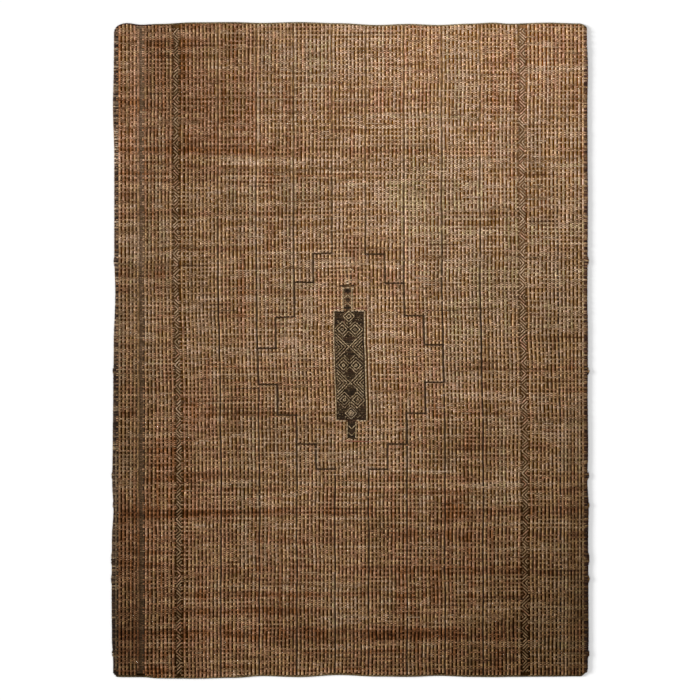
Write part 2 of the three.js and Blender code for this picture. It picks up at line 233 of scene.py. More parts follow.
def jute_yarn(name, hues, along, twist=3.4, softness=0.9, relief=0.5, shine=0.12, browning=(0.12, 0.42)):
    """Spun jute: matt, hairy and two-ply. hues are its colours from one end of the lot to the other.
    browning is how fast green and blue fall as the tone does. The eye gets a broken, dusty surface with no
    gloss, slanting plies and long darker fibres."""
    material = bpy.data.materials.new(name)
    material.use_nodes = True
    tree = material.node_tree
    shader = tree.nodes["Principled BSDF"]
    place = add_node(tree, "ShaderNodeTexCoord").outputs["Object"]
    hue = add_node(tree, "ShaderNodeAttribute", attribute_name="hue").outputs["Fac"]
    tone = add_node(tree, "ShaderNodeAttribute", attribute_name="tone").outputs["Fac"]
    ramp = add_node(tree, "ShaderNodeValToRGB", {"Fac": hue})
    while len(ramp.color_ramp.elements) < len(hues):
        ramp.color_ramp.elements.new(0.5)
    for i, colour in enumerate(hues):
        ramp.color_ramp.elements[i].position = i / (len(hues) - 1)
        ramp.color_ramp.elements[i].color = linear(colour)
    # Fibres 1.3 mm apart and 12 mm long, coarser than real ones, which are too fine to show
    stretch = (1 / 0.0013, 1 / 0.012, 1 / 0.0013) if along == "Y" else (1 / 0.012, 1 / 0.0013, 1 / 0.0013)
    fibre_place = add_node(tree, "ShaderNodeMapping", {"Vector": place, "Scale": stretch})
    fibres = add_node(
        tree, "ShaderNodeTexNoise", {"Vector": fibre_place.outputs[0], "Scale": 1.0, "Detail": 3.0}
    )
    fibre_tone = add_node(
        tree, "ShaderNodeMapRange",
        {"Value": fibres.outputs["Fac"], "From Min": 0.3, "From Max": 0.7, "To Min": 0.74, "To Max": 1.18},
    )
    # Thick and thin places in the spinning, paler and darker, 4 mm across and 5 mm long
    spread = (1 / 0.004, 1 / 0.005, 1 / 0.004) if along == "Y" else (1 / 0.005, 1 / 0.004, 1 / 0.004)
    slub_place = add_node(tree, "ShaderNodeMapping", {"Vector": place, "Scale": spread})
    slubs = add_node(
        tree, "ShaderNodeTexNoise", {"Vector": slub_place.outputs[0], "Scale": 1.0, "Detail": 1.0}
    )
    slub_tone = add_node(
        tree, "ShaderNodeMapRange",
        {"Value": slubs.outputs["Fac"], "From Min": 0.3, "From Max": 0.7, "To Min": 0.52, "To Max": 1.48},
    )
    spun_tone = add_node(
        tree, "ShaderNodeMath", {0: fibre_tone.outputs[0], 1: slub_tone.outputs[0]}, operation="MULTIPLY"
    )
    both = add_node(tree, "ShaderNodeMath", {0: tone, 1: spun_tone.outputs[0]}, operation="MULTIPLY")
    # Dark jute is browner than pale jute: as the tone falls, green falls faster than red, and blue more so
    dulled = add_node(tree, "ShaderNodeMath", {0: both.outputs[0], 1: 1.0}, operation="MINIMUM")
    less_green = add_node(tree, "ShaderNodeMath", {0: dulled.outputs[0], 1: browning[0]}, operation="POWER")
    less_blue = add_node(tree, "ShaderNodeMath", {0: dulled.outputs[0], 1: browning[1]}, operation="POWER")
    green = add_node(
        tree, "ShaderNodeMath", {0: both.outputs[0], 1: less_green.outputs[0]}, operation="MULTIPLY"
    )
    blue = add_node(
        tree, "ShaderNodeMath", {0: both.outputs[0], 1: less_blue.outputs[0]}, operation="MULTIPLY"
    )
    brown_tone = add_node(
        tree, "ShaderNodeCombineXYZ", {"X": both.outputs[0], "Y": green.outputs[0], "Z": blue.outputs[0]}
    )
    colour = add_node(
        tree, "ShaderNodeVectorMath", {0: ramp.outputs["Color"], 1: brown_tone.outputs[0]},
        operation="MULTIPLY",
    )
    tree.links.new(colour.outputs[0], shader.inputs["Base Color"])
    # The plies slant across the yarn, one every twist millimetres
    slant = (1, 0.55, 0) if along == "Y" else (0.55, 1, 0)
    ply_place = add_node(tree, "ShaderNodeVectorMath", {0: place, 1: slant}, operation="DOT_PRODUCT")
    ply_turn = add_node(
        tree, "ShaderNodeMath", {0: ply_place.outputs["Value"], 1: math.tau / (twist * MM)},
        operation="MULTIPLY",
    )
    plies = add_node(tree, "ShaderNodeMath", {0: ply_turn.outputs[0]}, operation="SINE")
    height = add_node(
        tree, "ShaderNodeMath", {0: plies.outputs[0], 1: 0.5, 2: fibres.outputs["Fac"]},
        operation="MULTIPLY_ADD",
    )
    bump = add_node(
        tree, "ShaderNodeBump", {"Height": height.outputs[0], "Strength": relief, "Distance": 0.6 * MM}
    )
    tree.links.new(bump.outputs[0], shader.inputs["Normal"])
    shader.inputs["Roughness"].default_value = softness
    shader.inputs["Specular IOR Level"].default_value = shine
    return material


def add_piece(name, points, faces, attributes, materials):
    """An object with a mesh of quads given in millimetres. attributes has a value for each point, by name."""
    mesh = bpy.data.meshes.new(name)
    points, faces = np.asarray(points, float) * MM, np.asarray(faces)
    mesh.vertices.add(len(points))
    mesh.vertices.foreach_set("co", points.ravel())
    mesh.loops.add(faces.size)
    mesh.loops.foreach_set("vertex_index", faces.ravel())
    mesh.polygons.add(len(faces))
    mesh.polygons.foreach_set("loop_start", np.arange(len(faces)) * faces.shape[1])
    for key, values in attributes.items():
        column = mesh.attributes.new(key, "FLOAT", "POINT").data
        column.foreach_set("value", np.asarray(values, np.float32).ravel())
    for material in materials:
        mesh.materials.append(material)
    mesh.update(calc_edges=True)
    mesh.validate()
    mesh.shade_smooth()
    piece = bpy.data.objects.new(name, mesh)
    bpy.context.scene.collection.objects.link(piece)
    return piece


def grid_faces(rows, columns, start=0, upward=True):
    """The quads of a grid whose points run along X first and then along Y."""
    corner = start + np.arange(rows - 1)[:, None] * columns + np.arange(columns - 1)[None]
    quads = np.stack([corner, corner + 1, corner + columns + 1, corner + columns], axis=-1).reshape(-1, 4)
    return quads if upward else quads[:, ::-1]


ribs, strips, boundaries = [], [], [FACE_START]
for run in RUNS:
    pitch = run["width"] / run["count"]
    for i in range(run["count"]):
        left = boundaries[-1]
        boundaries.append(left + pitch)
        if run["kind"] == "ribs":
            ribs.append({"x": left + pitch / 2, "pitch": pitch})
        else:
            strips.append({"kind": run["kind"], "left": left, "width": run["width"]})
boundaries = np.array(boundaries)

middles = (boundaries[1:] + boundaries[:-1]) / 2
ground_x = np.sort(np.concatenate([[-900, -894, 895, 900], boundaries, middles]))
is_gap = np.isin(ground_x, boundaries)


def ground_grid(inset, z_of_gap, z_of_rib):
    """Points over the whole cloth, drawn in from its edges by inset."""
    share = np.linspace(0, 1, GROUND_ROWS)[:, None]
    x = np.repeat(ground_x[None], GROUND_ROWS, axis=0)
    y = -HALF_LENGTH + 2 * HALF_LENGTH * share + 0 * x
    x = laid(x, y)
    for columns, side, further in (([0, 1], -1, [0, 6]), ([-1, -2], 1, [0, 6])):
        for column, inside in zip(columns, further):
            x[:, column] = side_edge(side, y[:, column]) - side * (inset + inside)
    low, high = end_edge(-1, x) + inset, end_edge(1, x) - inset
    y = low + (high - low) * share
    z = np.where(is_gap, z_of_gap, z_of_rib)[None] + 0 * x
    return np.stack([x, y, z], axis=-1)


top = ground_grid(RIM_ROUND, FLOOR_OF_GAPS, FLOOR_OF_GAPS + 0.5)
middle = ground_grid(0, RIM_MIDDLE, RIM_MIDDLE)
bottom = ground_grid(RIM_ROUND, UNDERSIDE_RELIEF, 0)
rows, columns = top.shape[:2]
index = np.arange(rows * columns).reshape(rows, columns)
rim = np.concatenate([index[0, :-1], index[:-1, -1], index[-1, :0:-1], index[:0:-1, 0]])
points = np.concatenate([top.reshape(-1, 3), bottom.reshape(-1, 3), middle.reshape(-1, 3)[rim]])
rim_start = 2 * rows * columns
around = rim_start + np.arange(len(rim))
next_around, next_rim = np.roll(around, -1), np.roll(rim, -1)
upper_rim = np.stack([around, next_around, next_rim, rim], axis=-1)
lower_rim = np.stack([rim, next_rim, next_around, around], axis=-1)
lower_rim[:, :2] += rows * columns
faces = np.concatenate([
    grid_faces(rows, columns), upper_rim, lower_rim,
    grid_faces(rows, columns, start=rows * columns, upward=False),
])
# The dyed weft takes the yarn's tone squared, so its browning and painted fall-off and pool of light go
# deeper than in the undyed yarn over it, and it is softer at the head of the rug
GAP_DEEPENS = 2.0
HEAD_HEIGHT, GAPS_PALER_AT_HEAD = 1100, 0.22
ground_tone = tone_of(points[:, 0], points[:, 1]) ** GAP_DEEPENS
ground_tone = ground_tone * (1 + GAPS_PALER_AT_HEAD * np.clip(points[:, 1] / HEAD_HEIGHT, 0, 1))
ground_tone = ground_tone * (1 + 0.25 * patches(points[:, 0], points[:, 1], 15, 90, 43))
ground_hue = 0.5 + 0.4 * patches(points[:, 0], points[:, 1], 15, 160, 41) + 0.3 * patches(
    points[:, 0], points[:, 1], 240, 200, 42
)
DARK_WEFT_HUES = ["#684A10", "#78480C", "#764A12", "#804610"]
dark_weft = jute_yarn("dyed_brown_jute_weft", DARK_WEFT_HUES, "X", shine=0, browning=(0.02, 0.30))
underside_jute = jute_yarn("jute_underside", ["#A58A62", "#B39468", "#A8845E"], "Y", relief=0.9)
zigzag_ground = jute_yarn("brown_ground_of_zigzag", ["#7C6042", "#8A6844", "#80583A"], "X", shine=0)
ground_cloth = add_piece(
    "ground_cloth", points, faces, {"tone": ground_tone, "hue": ground_hue},
    [dark_weft, underside_jute, zigzag_ground],
)
yarn_of_face = np.zeros(len(faces), np.int32)
yarn_of_face[(rows - 1) * (columns - 1) + len(rim) :] = 1
face_x = (ground_x[1:] + ground_x[:-1]) / 2
for strip in strips:
    if strip["kind"] == "zigzag":
        in_strip = np.abs(face_x - strip["left"] - strip["width"] / 2) < strip["width"] / 2
        yarn_of_face[: (rows - 1) * (columns - 1)][np.tile(in_strip, rows - 1)] = 2
ground_cloth.data.polygons.foreach_set("material_index", yarn_of_face)
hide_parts("rug_cloth")
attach(ground_cloth, "root")

# The ribs
# Each rib is one fat two-ply warp of undyed jute that floats over the ground. It is pinched a little where
# the wefts hold it down, and no two lie or are coloured alike.

RIB_TOP = 8.0
RIB_HALF_WIDTH, RIB_HALF_HEIGHT = 4.8, 2.6
RIB_PITCH = 14.4
YARN_SIDES = 5  # of the section of a yarn, which looks round at this size
HEM_WIDTH = 8
PANEL_RUN = (-67, 61)
PANEL_LOW, PANEL_HIGH = -268, 148
TONGUES = [{"x": -10, "low": 148, "high": 246}, {"x": -3, "low": -338, "high": -268}]
TONGUE_HALF_WIDTH = 16
# From olive to red-brown, by turns more golden and more pink
JUTE_HUES = ["#A99470", "#B69985", "#BA976F", "#BA9079", "#B68158", "#A06944"]
# Where along the rug the yarn is redder: at the head and at the foot
HUE_OF_ROWS = {"y": [-1240, -700, -250, 450, 950, 1240], "hue": [0.44, 0.40, 0.32, 0.30, 0.36, 0.40]}
SHARE_HELD = 0.50  # of the rows in each gap, where a weft comes up and holds the ribs down
SHARE_IN_DARK_GAP = 0.08  # the same, in a gap that holds a dark warp
RIBS_DULLER_AT_HEAD = 0.03
# The warps are pulled up pale where they pass over the lower hem
HEM_PALING = {"from_end": 11, "reach": 6, "more": 0.35}
row_y = np.arange(-HALF_LENGTH - 10, HALF_LENGTH + 14, ROW)


def in_panel(x, y, margin=0.0):
    """True where the centre panel or one of its tongues takes the place of the ribs."""
    inside = (x > PANEL_RUN[0]) & (x < PANEL_RUN[1]) & (y > PANEL_LOW - margin) & (y < PANEL_HIGH + margin)
    for tongue in TONGUES:
        beside = np.abs(x - tongue["x"]) < TONGUE_HALF_WIDTH
        inside |= beside & (y > tongue["low"] - margin) & (y < tongue["high"] + margin)
    return inside


def kept_runs(keep):
    """The start and end of each unbroken stretch that is kept, of two points or more."""
    edges = np.flatnonzero(np.diff(np.concatenate([[0], keep.astype(int), [0]])))
    return [(a, b) for a, b in zip(edges[::2], edges[1::2]) if b - a > 1]


def yarn_lines(name, lines):
    """A mesh of bare lines for the laid yarn tree. Each line has x, y, z, radius, tone and hue columns."""
    mesh = bpy.data.meshes.new(name)
    table = np.concatenate(lines)
    starts = np.cumsum([0] + [len(line) for line in lines])
    first = np.setdiff1d(np.arange(len(table)), starts[1:] - 1)
    mesh.vertices.add(len(table))
    mesh.vertices.foreach_set("co", (table[:, :3] * MM).ravel())
    mesh.edges.add(len(first))
    mesh.edges.foreach_set("vertices", np.stack([first, first + 1], axis=-1).ravel())
    for column, key in enumerate(("thickness", "tone", "hue"), start=3):
        values = mesh.attributes.new(key, "FLOAT", "POINT").data
        values.foreach_set("value", table[:, column].astype(np.float32))
    return mesh


laid_yarn = bpy.data.node_groups.new("laid_yarn", "GeometryNodeTree")
laid_yarn.interface.new_socket("Lines", in_out="INPUT", socket_type="NodeSocketGeometry")
laid_yarn.interface.new_socket("Half width", in_out="INPUT", socket_type="NodeSocketFloat")
laid_yarn.interface.new_socket("Half height", in_out="INPUT", socket_type="NodeSocketFloat")
laid_yarn.interface.new_socket("Sides", in_out="INPUT", socket_type="NodeSocketInt")
laid_yarn.interface.new_socket("Yarn", in_out="INPUT", socket_type="NodeSocketMaterial")
laid_yarn.interface.new_socket("Piece", in_out="OUTPUT", socket_type="NodeSocketGeometry")
sizes = add_node(laid_yarn, "NodeGroupInput").outputs
path = add_node(laid_yarn, "GeometryNodeMeshToCurve", {"Mesh": sizes["Lines"]})
upright = add_node(laid_yarn, "GeometryNodeSetCurveNormal", {"Curve": path.outputs["Curve"]}, mode="Z_UP")
thickness = add_node(laid_yarn, "GeometryNodeInputNamedAttribute", {"Name": "thickness"}, data_type="FLOAT")
thick_path = add_node(
    laid_yarn, "GeometryNodeSetCurveRadius",
    {"Curve": upright.outputs["Curve"], "Radius": thickness.outputs["Attribute"]},
)
section = add_node(
    laid_yarn, "GeometryNodeCurvePrimitiveCircle",
    {"Resolution": sizes["Sides"], "Radius": 1.0}, mode="RADIUS",
)
flatness = add_node(
    laid_yarn, "ShaderNodeCombineXYZ", {"X": sizes["Half width"], "Y": sizes["Half height"], "Z": 1.0}
)
oval = add_node(
    laid_yarn, "GeometryNodeTransform", {"Geometry": section.outputs["Curve"], "Scale": flatness.outputs[0]}
)
spun = add_node(
    laid_yarn, "GeometryNodeCurveToMesh",
    {"Curve": thick_path.outputs["Curve"], "Profile Curve": oval.outputs[0], "Fill Caps": True},
)
real = add_node(laid_yarn, "GeometryNodeRealizeInstances", {"Geometry": spun.outputs["Mesh"]})
dyed = add_node(
    laid_yarn, "GeometryNodeSetMaterial", {"Geometry": real.outputs[0], "Material": sizes["Yarn"]}
)
add_node(laid_yarn, "NodeGroupOutput", {"Piece": dyed.outputs[0]})


def grow(name, carrier, tree, settings):
    """The plain mesh that a node tree makes of a carrier mesh, ridden on the rug."""
    piece = bpy.data.objects.new(name, carrier)
    bpy.context.scene.collection.objects.link(piece)
    modifier = piece.modifiers.new(tree.name, "NODES")
    modifier.node_group = tree
    for item in tree.interface.items_tree:
        if item.name in settings:
            modifier[item.identifier] = settings[item.name]
    depsgraph = bpy.context.evaluated_depsgraph_get()
    finished = bpy.data.meshes.new_from_object(
        piece.evaluated_get(depsgraph), preserve_all_data_layers=True, depsgraph=depsgraph
    )
    piece.modifiers.clear()
    piece.data = finished
    finished.name = name
    finished.shade_smooth()
    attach(piece, "root")
    return piece


def lay_yarns(name, lines, yarn, half_width, half_height, sides=YARN_SIDES):
    """Lays lines of one yarn on the ground cloth, as one piece."""
    settings = {
        "Half width": half_width * MM, "Half height": half_height * MM, "Sides": sides, "Yarn": yarn,
    }
    grow(name, yarn_lines(name, lines), laid_yarn, settings)


def yarn_columns(x, y, z, size, tone, hue):
    """The six columns of a line of yarn. A single value holds all along it."""
    return np.stack(np.broadcast_arrays(x, y, z, size, tone, hue), axis=-1)


def hue_of(x, y, tone):
    """How red the yarn is, from 0 to 1: redder at the ends and left of the rug, and in its dark rows."""
    hue = follow(HUE_OF_ROWS["y"], HUE_OF_ROWS["hue"], y) + 0.14 * patches(x, y, 160, 300, 55)
    hue = hue + 0.11 * np.clip((-x - 150) / 450, 0, 1) - 0.06 * np.clip((x - 150) / 450, 0, 1)
    return hue + 1.2 * (1 - tone)


def beat(x, row):
    """Each second weft comes up, row by row, over patches of the rug that now and then fall out of step."""
    place = row_y[np.clip(row, 0, len(row_y) - 1)]
    step = 0.2 + 0.9 * patches(x, place, 340, 46, 57) + 1.2 * patches(x, place, 70, 60, 58)
    return np.cos(math.pi * row) * np.clip(step, -1, 1)


def streaks(x, place):
    """Single rows of weft paler or darker than their neighbours over a long way, and a few much darker."""
    dark = np.clip((patches(x, place, 190, ROW, 67) - 0.45) / 0.25, 0, 1)
    return 0.11 * patches(x, place, 420, ROW, 59) + 0.13 * patches(x, place, 110, ROW, 60) - 0.26 * dark


STEP_LINES = {"left": [-67, -139.5, -212, -283, -354], "right": [61, 134, 207, 279, 351]}
STEP_LEVELS = {
    "left": [365, 255, 122, 4, -133, -247, -357, -452],
    "right": [361, 251, 129, 19, -122, -239, -357, -452],
}
# The gaps that hold a dark warp, and from where to where: whole gaps, those as far as the stepped outline,
# and the uprights of the outline itself
DARK_GAPS = [{"x": x, "low": -HALF_LENGTH, "high": HALF_LENGTH, "kind": "warp"} for x in (-500, 496)]
for side, lines in STEP_LINES.items():
    levels = STEP_LEVELS[side]
    for turn in (0, 2, 4):
        level = max(turn - 1, 0)
        DARK_GAPS.append({"x": lines[turn], "low": -HALF_LENGTH, "high": levels[7 - level], "kind": "warp"})
        DARK_GAPS.append({"x": lines[turn], "low": levels[level], "high": HALF_LENGTH, "kind": "warp"})
    for i in range(len(levels) - 1):
        x = lines[i + 1] if i < 4 else lines[7 - i]
        DARK_GAPS.append({"x": x, "low": levels[i + 1], "high": levels[i], "kind": "upright"})

# Where wefts come up between the ribs: short stretches of a row together, seldom twice running in one gap
gap_x, gap_row = np.meshgrid(boundaries, row_y)
gap_y = beaten(gap_x, gap_row)
hand = np.random.default_rng(61)
rise = 0.62 * patches(gap_x, gap_row, 70, ROW, 62) + 0.30 * patches(gap_x, gap_row, 260, ROW, 63)
rise = rise + 0.42 * hand.uniform(-1, 1, gap_x.shape)
rise[1:] -= 0.30 * rise[:-1]
row_number = np.arange(len(row_y))[:, None]
rise += 0.40 * beat(gap_x, row_number + 0 * gap_x.astype(int)) + 1.0 * (row_tone(gap_x, gap_y) - 1)
weft_up = rise > np.quantile(rise, 1 - SHARE_HELD)
for gap in DARK_GAPS:
    dark = (np.abs(gap_x - gap["x"]) < 2) & (gap_y < gap["high"]) & (gap_y > gap["low"])
    share = SHARE_IN_DARK_GAP if gap["kind"] == "warp" else 0
    weft_up &= ~dark | (hand.uniform(0, 1, gap_x.shape) < share)
weft_up &= ~in_panel(gap_x, gap_y)
weft_up &= (gap_y > end_edge(-1, gap_x) + 10) & (gap_y < end_edge(1, gap_x) - 10)

rib_x = np.array([rib["x"] for rib in ribs])
rib_breadth = np.array([rib["pitch"] for rib in ribs]) / RIB_PITCH
left_gap = np.searchsorted(boundaries, rib_x) - 1
x, rib_row = np.meshgrid(rib_x, row_y)
low, high = end_edge(-1, rib_x) + HEM_WIDTH - 4, end_edge(1, rib_x) - HEM_WIDTH + 2.5
y = np.clip(beaten(x, rib_row), low, high)
rib_kept = ~in_panel(x, y) & (np.diff(y, axis=0, prepend=y[:1] - 1) > 0.5)
held = (weft_up[:, left_gap].astype(float) + weft_up[:, left_gap + 1]) / 2
bead = beat(x, row_number + 0 * x.astype(int))
hand = np.random.default_rng(51)
size = 1 + 0.13 * bead + 0.11 * hand.uniform(-1, 1, x.shape) + 0.06 * patches(x, y, 14, 90, 51)
to_foot = np.clip((-y - 200) / 900, 0, 1)
size = size * rib_breadth * (1 - 0.10 * to_foot)
sink = 1.4 * np.clip(1 - np.minimum(y - low, high - y) / 9, 0, 1)
z = RIB_TOP - RIB_HALF_HEIGHT * size + 0.35 * patches(x, y, 14, 130, 52) + 0.3 * bead - sink
row = row_tone(x, y)
tone = 1 + 0.26 * bead + (0.34 + 0.07 * to_foot) * hand.uniform(-1, 1, x.shape)
tone = tone + 0.15 * patches(x, y, 14, 210, 53)
tone = tone * (
    1 + 0.08 * patches(x, y, 55, 320, 83) + 0.08 * patches(x, y, 14, 1100, 84) + streaks(x, rib_row)
)
hue = hue_of(x, y, row) + 0.25 * patches(x, y, 14, 170, 54) + 0.08 * hand.uniform(-1, 1, x.shape)
hue = hue - 0.25 * (tone - 1)
tone = tone_of(x, y) * tone * (0.94 + 0.14 * held)
tone = tone * (1 + 0.07 * to_foot) * (1 - RIBS_DULLER_AT_HEAD * np.clip(y / HEAD_HEIGHT, 0, 1))
over_hem = np.exp(-(((y - low - HEM_PALING["from_end"]) / HEM_PALING["reach"]) ** 2))
tone = tone * (1 + HEM_PALING["more"] * over_hem)
# The outermost rib at the left is redder and paler from the middle of the rug to its head
to_head = (x < -876) * np.clip((y - 300) / 300, 0, 1)
hue, tone = hue + 0.30 * to_head, tone * (1 + 0.25 * to_head)
rib_table = yarn_columns(laid(x, y), y, z, size, tone, np.clip(hue, 0, 1))

rib_jute = jute_yarn("undyed_jute_warp", JUTE_HUES, "Y")
rib_groups = {"ribs_left": (0, 41), "ribs_middle": (41, 81), "ribs_right": (81, len(ribs))}
for name, (first, last) in rib_groups.items():
    lines = [rib_table[a:b, rib] for rib in range(first, last) for a, b in kept_runs(rib_kept[:, rib])]
    lay_yarns(name, lines, rib_jute, RIB_HALF_WIDTH, RIB_HALF_HEIGHT)

# The wefts that show
# Jute wefts run under the ribs from selvedge to selvedge. Where one comes up between two ribs it shows as a
# short bar across the gap, and rows of such bars break the dark gaps into dashes.

BAR_LENGTH, BAR_BREADTH, BAR_HEIGHT = 11.5, 4.6, 2.6
WEFT_HUES = ["#AE9375", "#B49579", "#B69074", "#B28568", "#A67351", "#945D38"]
BAR_TOP = 8.1


def bar_points(name, places, sizes, tones, hues, turns=None):
    """A mesh of bare points for the short bars tree, one for each bar, with its size along X, Y and Z."""
    mesh = bpy.data.meshes.new(name)
    mesh.vertices.add(len(places))
    mesh.vertices.foreach_set("co", (np.asarray(places) * MM).ravel())
    values = {"tone": tones, "hue": hues, "turn": np.zeros(len(places)) if turns is None else turns}
    for key, column in values.items():
        made = mesh.attributes.new(key, "FLOAT", "POINT").data
        made.foreach_set("value", np.asarray(column, np.float32))
    size = mesh.attributes.new("size", "FLOAT_VECTOR", "POINT")
    size.data.foreach_set("vector", (np.asarray(sizes, np.float32) * MM).ravel())
    return mesh


short_bars = bpy.data.node_groups.new("short_bars", "GeometryNodeTree")
short_bars.interface.new_socket("Places", in_out="INPUT", socket_type="NodeSocketGeometry")
short_bars.interface.new_socket("Sides", in_out="INPUT", socket_type="NodeSocketInt")
short_bars.interface.new_socket("Yarn", in_out="INPUT", socket_type="NodeSocketMaterial")
short_bars.interface.new_socket("Piece", in_out="OUTPUT", socket_type="NodeSocketGeometry")
sizes = add_node(short_bars, "NodeGroupInput").outputs
bar = add_node(
    short_bars, "GeometryNodeMeshCylinder", {"Vertices": sizes["Sides"], "Radius": 0.5, "Depth": 1.0}
)
lying = add_node(
    short_bars, "GeometryNodeTransform", {"Geometry": bar.outputs["Mesh"], "Rotation": (0, math.pi / 2, 0)}
)
size = add_node(
    short_bars, "GeometryNodeInputNamedAttribute", {"Name": "size"}, data_type="FLOAT_VECTOR"
)
turn = add_node(short_bars, "GeometryNodeInputNamedAttribute", {"Name": "turn"}, data_type="FLOAT")
turned = add_node(short_bars, "ShaderNodeCombineXYZ", {"Z": turn.outputs["Attribute"]})
placed = add_node(
    short_bars, "GeometryNodeInstanceOnPoints",
    {"Points": sizes["Places"], "Instance": lying.outputs[0], "Scale": size.outputs["Attribute"],
     "Rotation": turned.outputs[0]},
)
real = add_node(short_bars, "GeometryNodeRealizeInstances", {"Geometry": placed.outputs[0]})
dyed = add_node(
    short_bars, "GeometryNodeSetMaterial", {"Geometry": real.outputs[0], "Material": sizes["Yarn"]}
)
add_node(short_bars, "NodeGroupOutput", {"Piece": dyed.outputs[0]})

x, y, v = laid(gap_x, gap_y)[weft_up], gap_y[weft_up], gap_row[weft_up]
hand = np.random.default_rng(66)
breadth = BAR_BREADTH * (1 + 0.22 * hand.uniform(-1, 1, len(x)))
height = BAR_HEIGHT * (1 + 0.15 * hand.uniform(-1, 1, len(x)))
z = BAR_TOP - height / 2 + 0.4 * hand.uniform(-1, 1, len(x))
y = y + 0.8 * hand.uniform(-1, 1, len(x))
tone = tone_of(x, y) * (0.94 + 0.30 * hand.uniform(-1, 1, len(x)) + streaks(x, v))
hue = hue_of(x, y, row_tone(x, y)) + 0.20 * patches(x, v, 240, ROW, 65)
hue = np.clip(hue + 0.14 * hand.uniform(-1, 1, len(x)), 0, 1)
turns = 0.16 * hand.uniform(-1, 1, len(x))
weft_jute = jute_yarn("undyed_jute_weft", WEFT_HUES, "X")
for name, here in (("wefts_left", x < 0), ("wefts_right", x >= 0)):
    count = int(here.sum())
    bar_sizes = np.stack([np.full(count, BAR_LENGTH), breadth[here], height[here]], axis=-1)
    places = np.stack([x[here], y[here], z[here]], axis=-1)
    carrier = bar_points(name, places, bar_sizes, tone[here], hue[here], turns[here])
    grow(name, carrier, short_bars, {"Sides": YARN_SIDES, "Yarn": weft_jute})

# The plain strip
# Near the left selvedge the wefts lie bare over a strip two ribs wide, packed side by side and duller than
# the rest. One thin dull warp floats over its left half.

STRIP_TOP = 6.5
STRIP_TONE = 0.84  # against the rest
STRIP_PITCH = 6.6
# The thin warp: its middle from the left of the strip, and its size and tone against those of a rib
DULL_RIB = {"x": 6.5, "size": 0.80, "tone": 0.78}
STRIP_HUES = ["#80684E", "#8E7460", "#967A64", "#866A58"]
strip = next(s for s in strips if s["kind"] == "plain")


def row_lines(left, right, rows_at, top, seed, span=7.0, reach=1.2, brightness=1.0):
    """Bare wefts side by side between two warps, from left to right at each of the rows."""
    lines = []
    hand = np.random.default_rng(seed)
    count = max(int((right - left) / span) + 1, 3)
    across = np.linspace(left - reach, right + reach, count)
    for number, v in enumerate(rows_at):
        y = beaten(across, np.full(count, v))
        x = laid(across, y)
        size = 1 + 0.08 * hand.uniform(-1, 1, count)
        z = top - 1.9 * size + 0.35 * np.cos(math.pi * (np.arange(count) + number))
        uneven = 1 + 0.14 * hand.uniform(-1, 1, count) + 0.20 * hand.uniform(-1, 1)
        tone = tone_of(x, y) * uneven * brightness
        hue = np.clip(hand.uniform(0, 1) + 0.2 * hand.uniform(-1, 1, count), 0, 1)
        lines.append(yarn_columns(x, y, z, size, tone, hue))
    return lines


strip_rows = np.arange(-HALF_LENGTH + 14, HALF_LENGTH - 10, STRIP_PITCH)
strip_wefts = row_lines(
    strip["left"], strip["left"] + strip["width"], strip_rows, STRIP_TOP, 71, brightness=STRIP_TONE
)
strip_jute = jute_yarn("bare_grey_weft", STRIP_HUES, "X")
lay_yarns("plain_strip", strip_wefts, strip_jute, half_width=3.7, half_height=1.9)

y = beaten(strip["left"], row_y)[4:-4]
x = np.full(len(y), strip["left"] + DULL_RIB["x"])
hand = np.random.default_rng(73)
bead = beat(x, np.arange(4, len(row_y) - 4))
size = DULL_RIB["size"] * (1 + 0.12 * bead + 0.10 * hand.uniform(-1, 1, len(y)))
tone = DULL_RIB["tone"] * tone_of(x, y) * (1 + 0.24 * bead + 0.30 * hand.uniform(-1, 1, len(y)))
z = np.full(len(y), RIB_TOP - 0.5 - RIB_HALF_HEIGHT * DULL_RIB["size"])
hue = np.clip(hue_of(x, y, row_tone(x, y)) + 0.2 * patches(x, y, 14, 170, 74), 0, 1)
dull_rib = yarn_columns(laid(x, y), y, z, size, tone, hue)
lay_yarns("strip_rib", [dull_rib], rib_jute, RIB_HALF_WIDTH, RIB_HALF_HEIGHT)

# The zigzag bands
# In each of two bands the pale warps are carried slantwise over a brown ground, and turn back every 42 mm,
# which makes chevrons with small brown triangles at their turns.

ZIGZAG_RISE = 42
STROKE_PITCH = 12.5
STROKE_MARGIN = 3.2
STROKE_LOW, STROKE_ARCH = 5.2, 1.0  # the height of a stroke at its ends, and its rise
stroke_jute = jute_yarn("pale_slanting_warp", ["#A88C72", "#B49A80", "#B89A80", "#BC9078"], "Y")


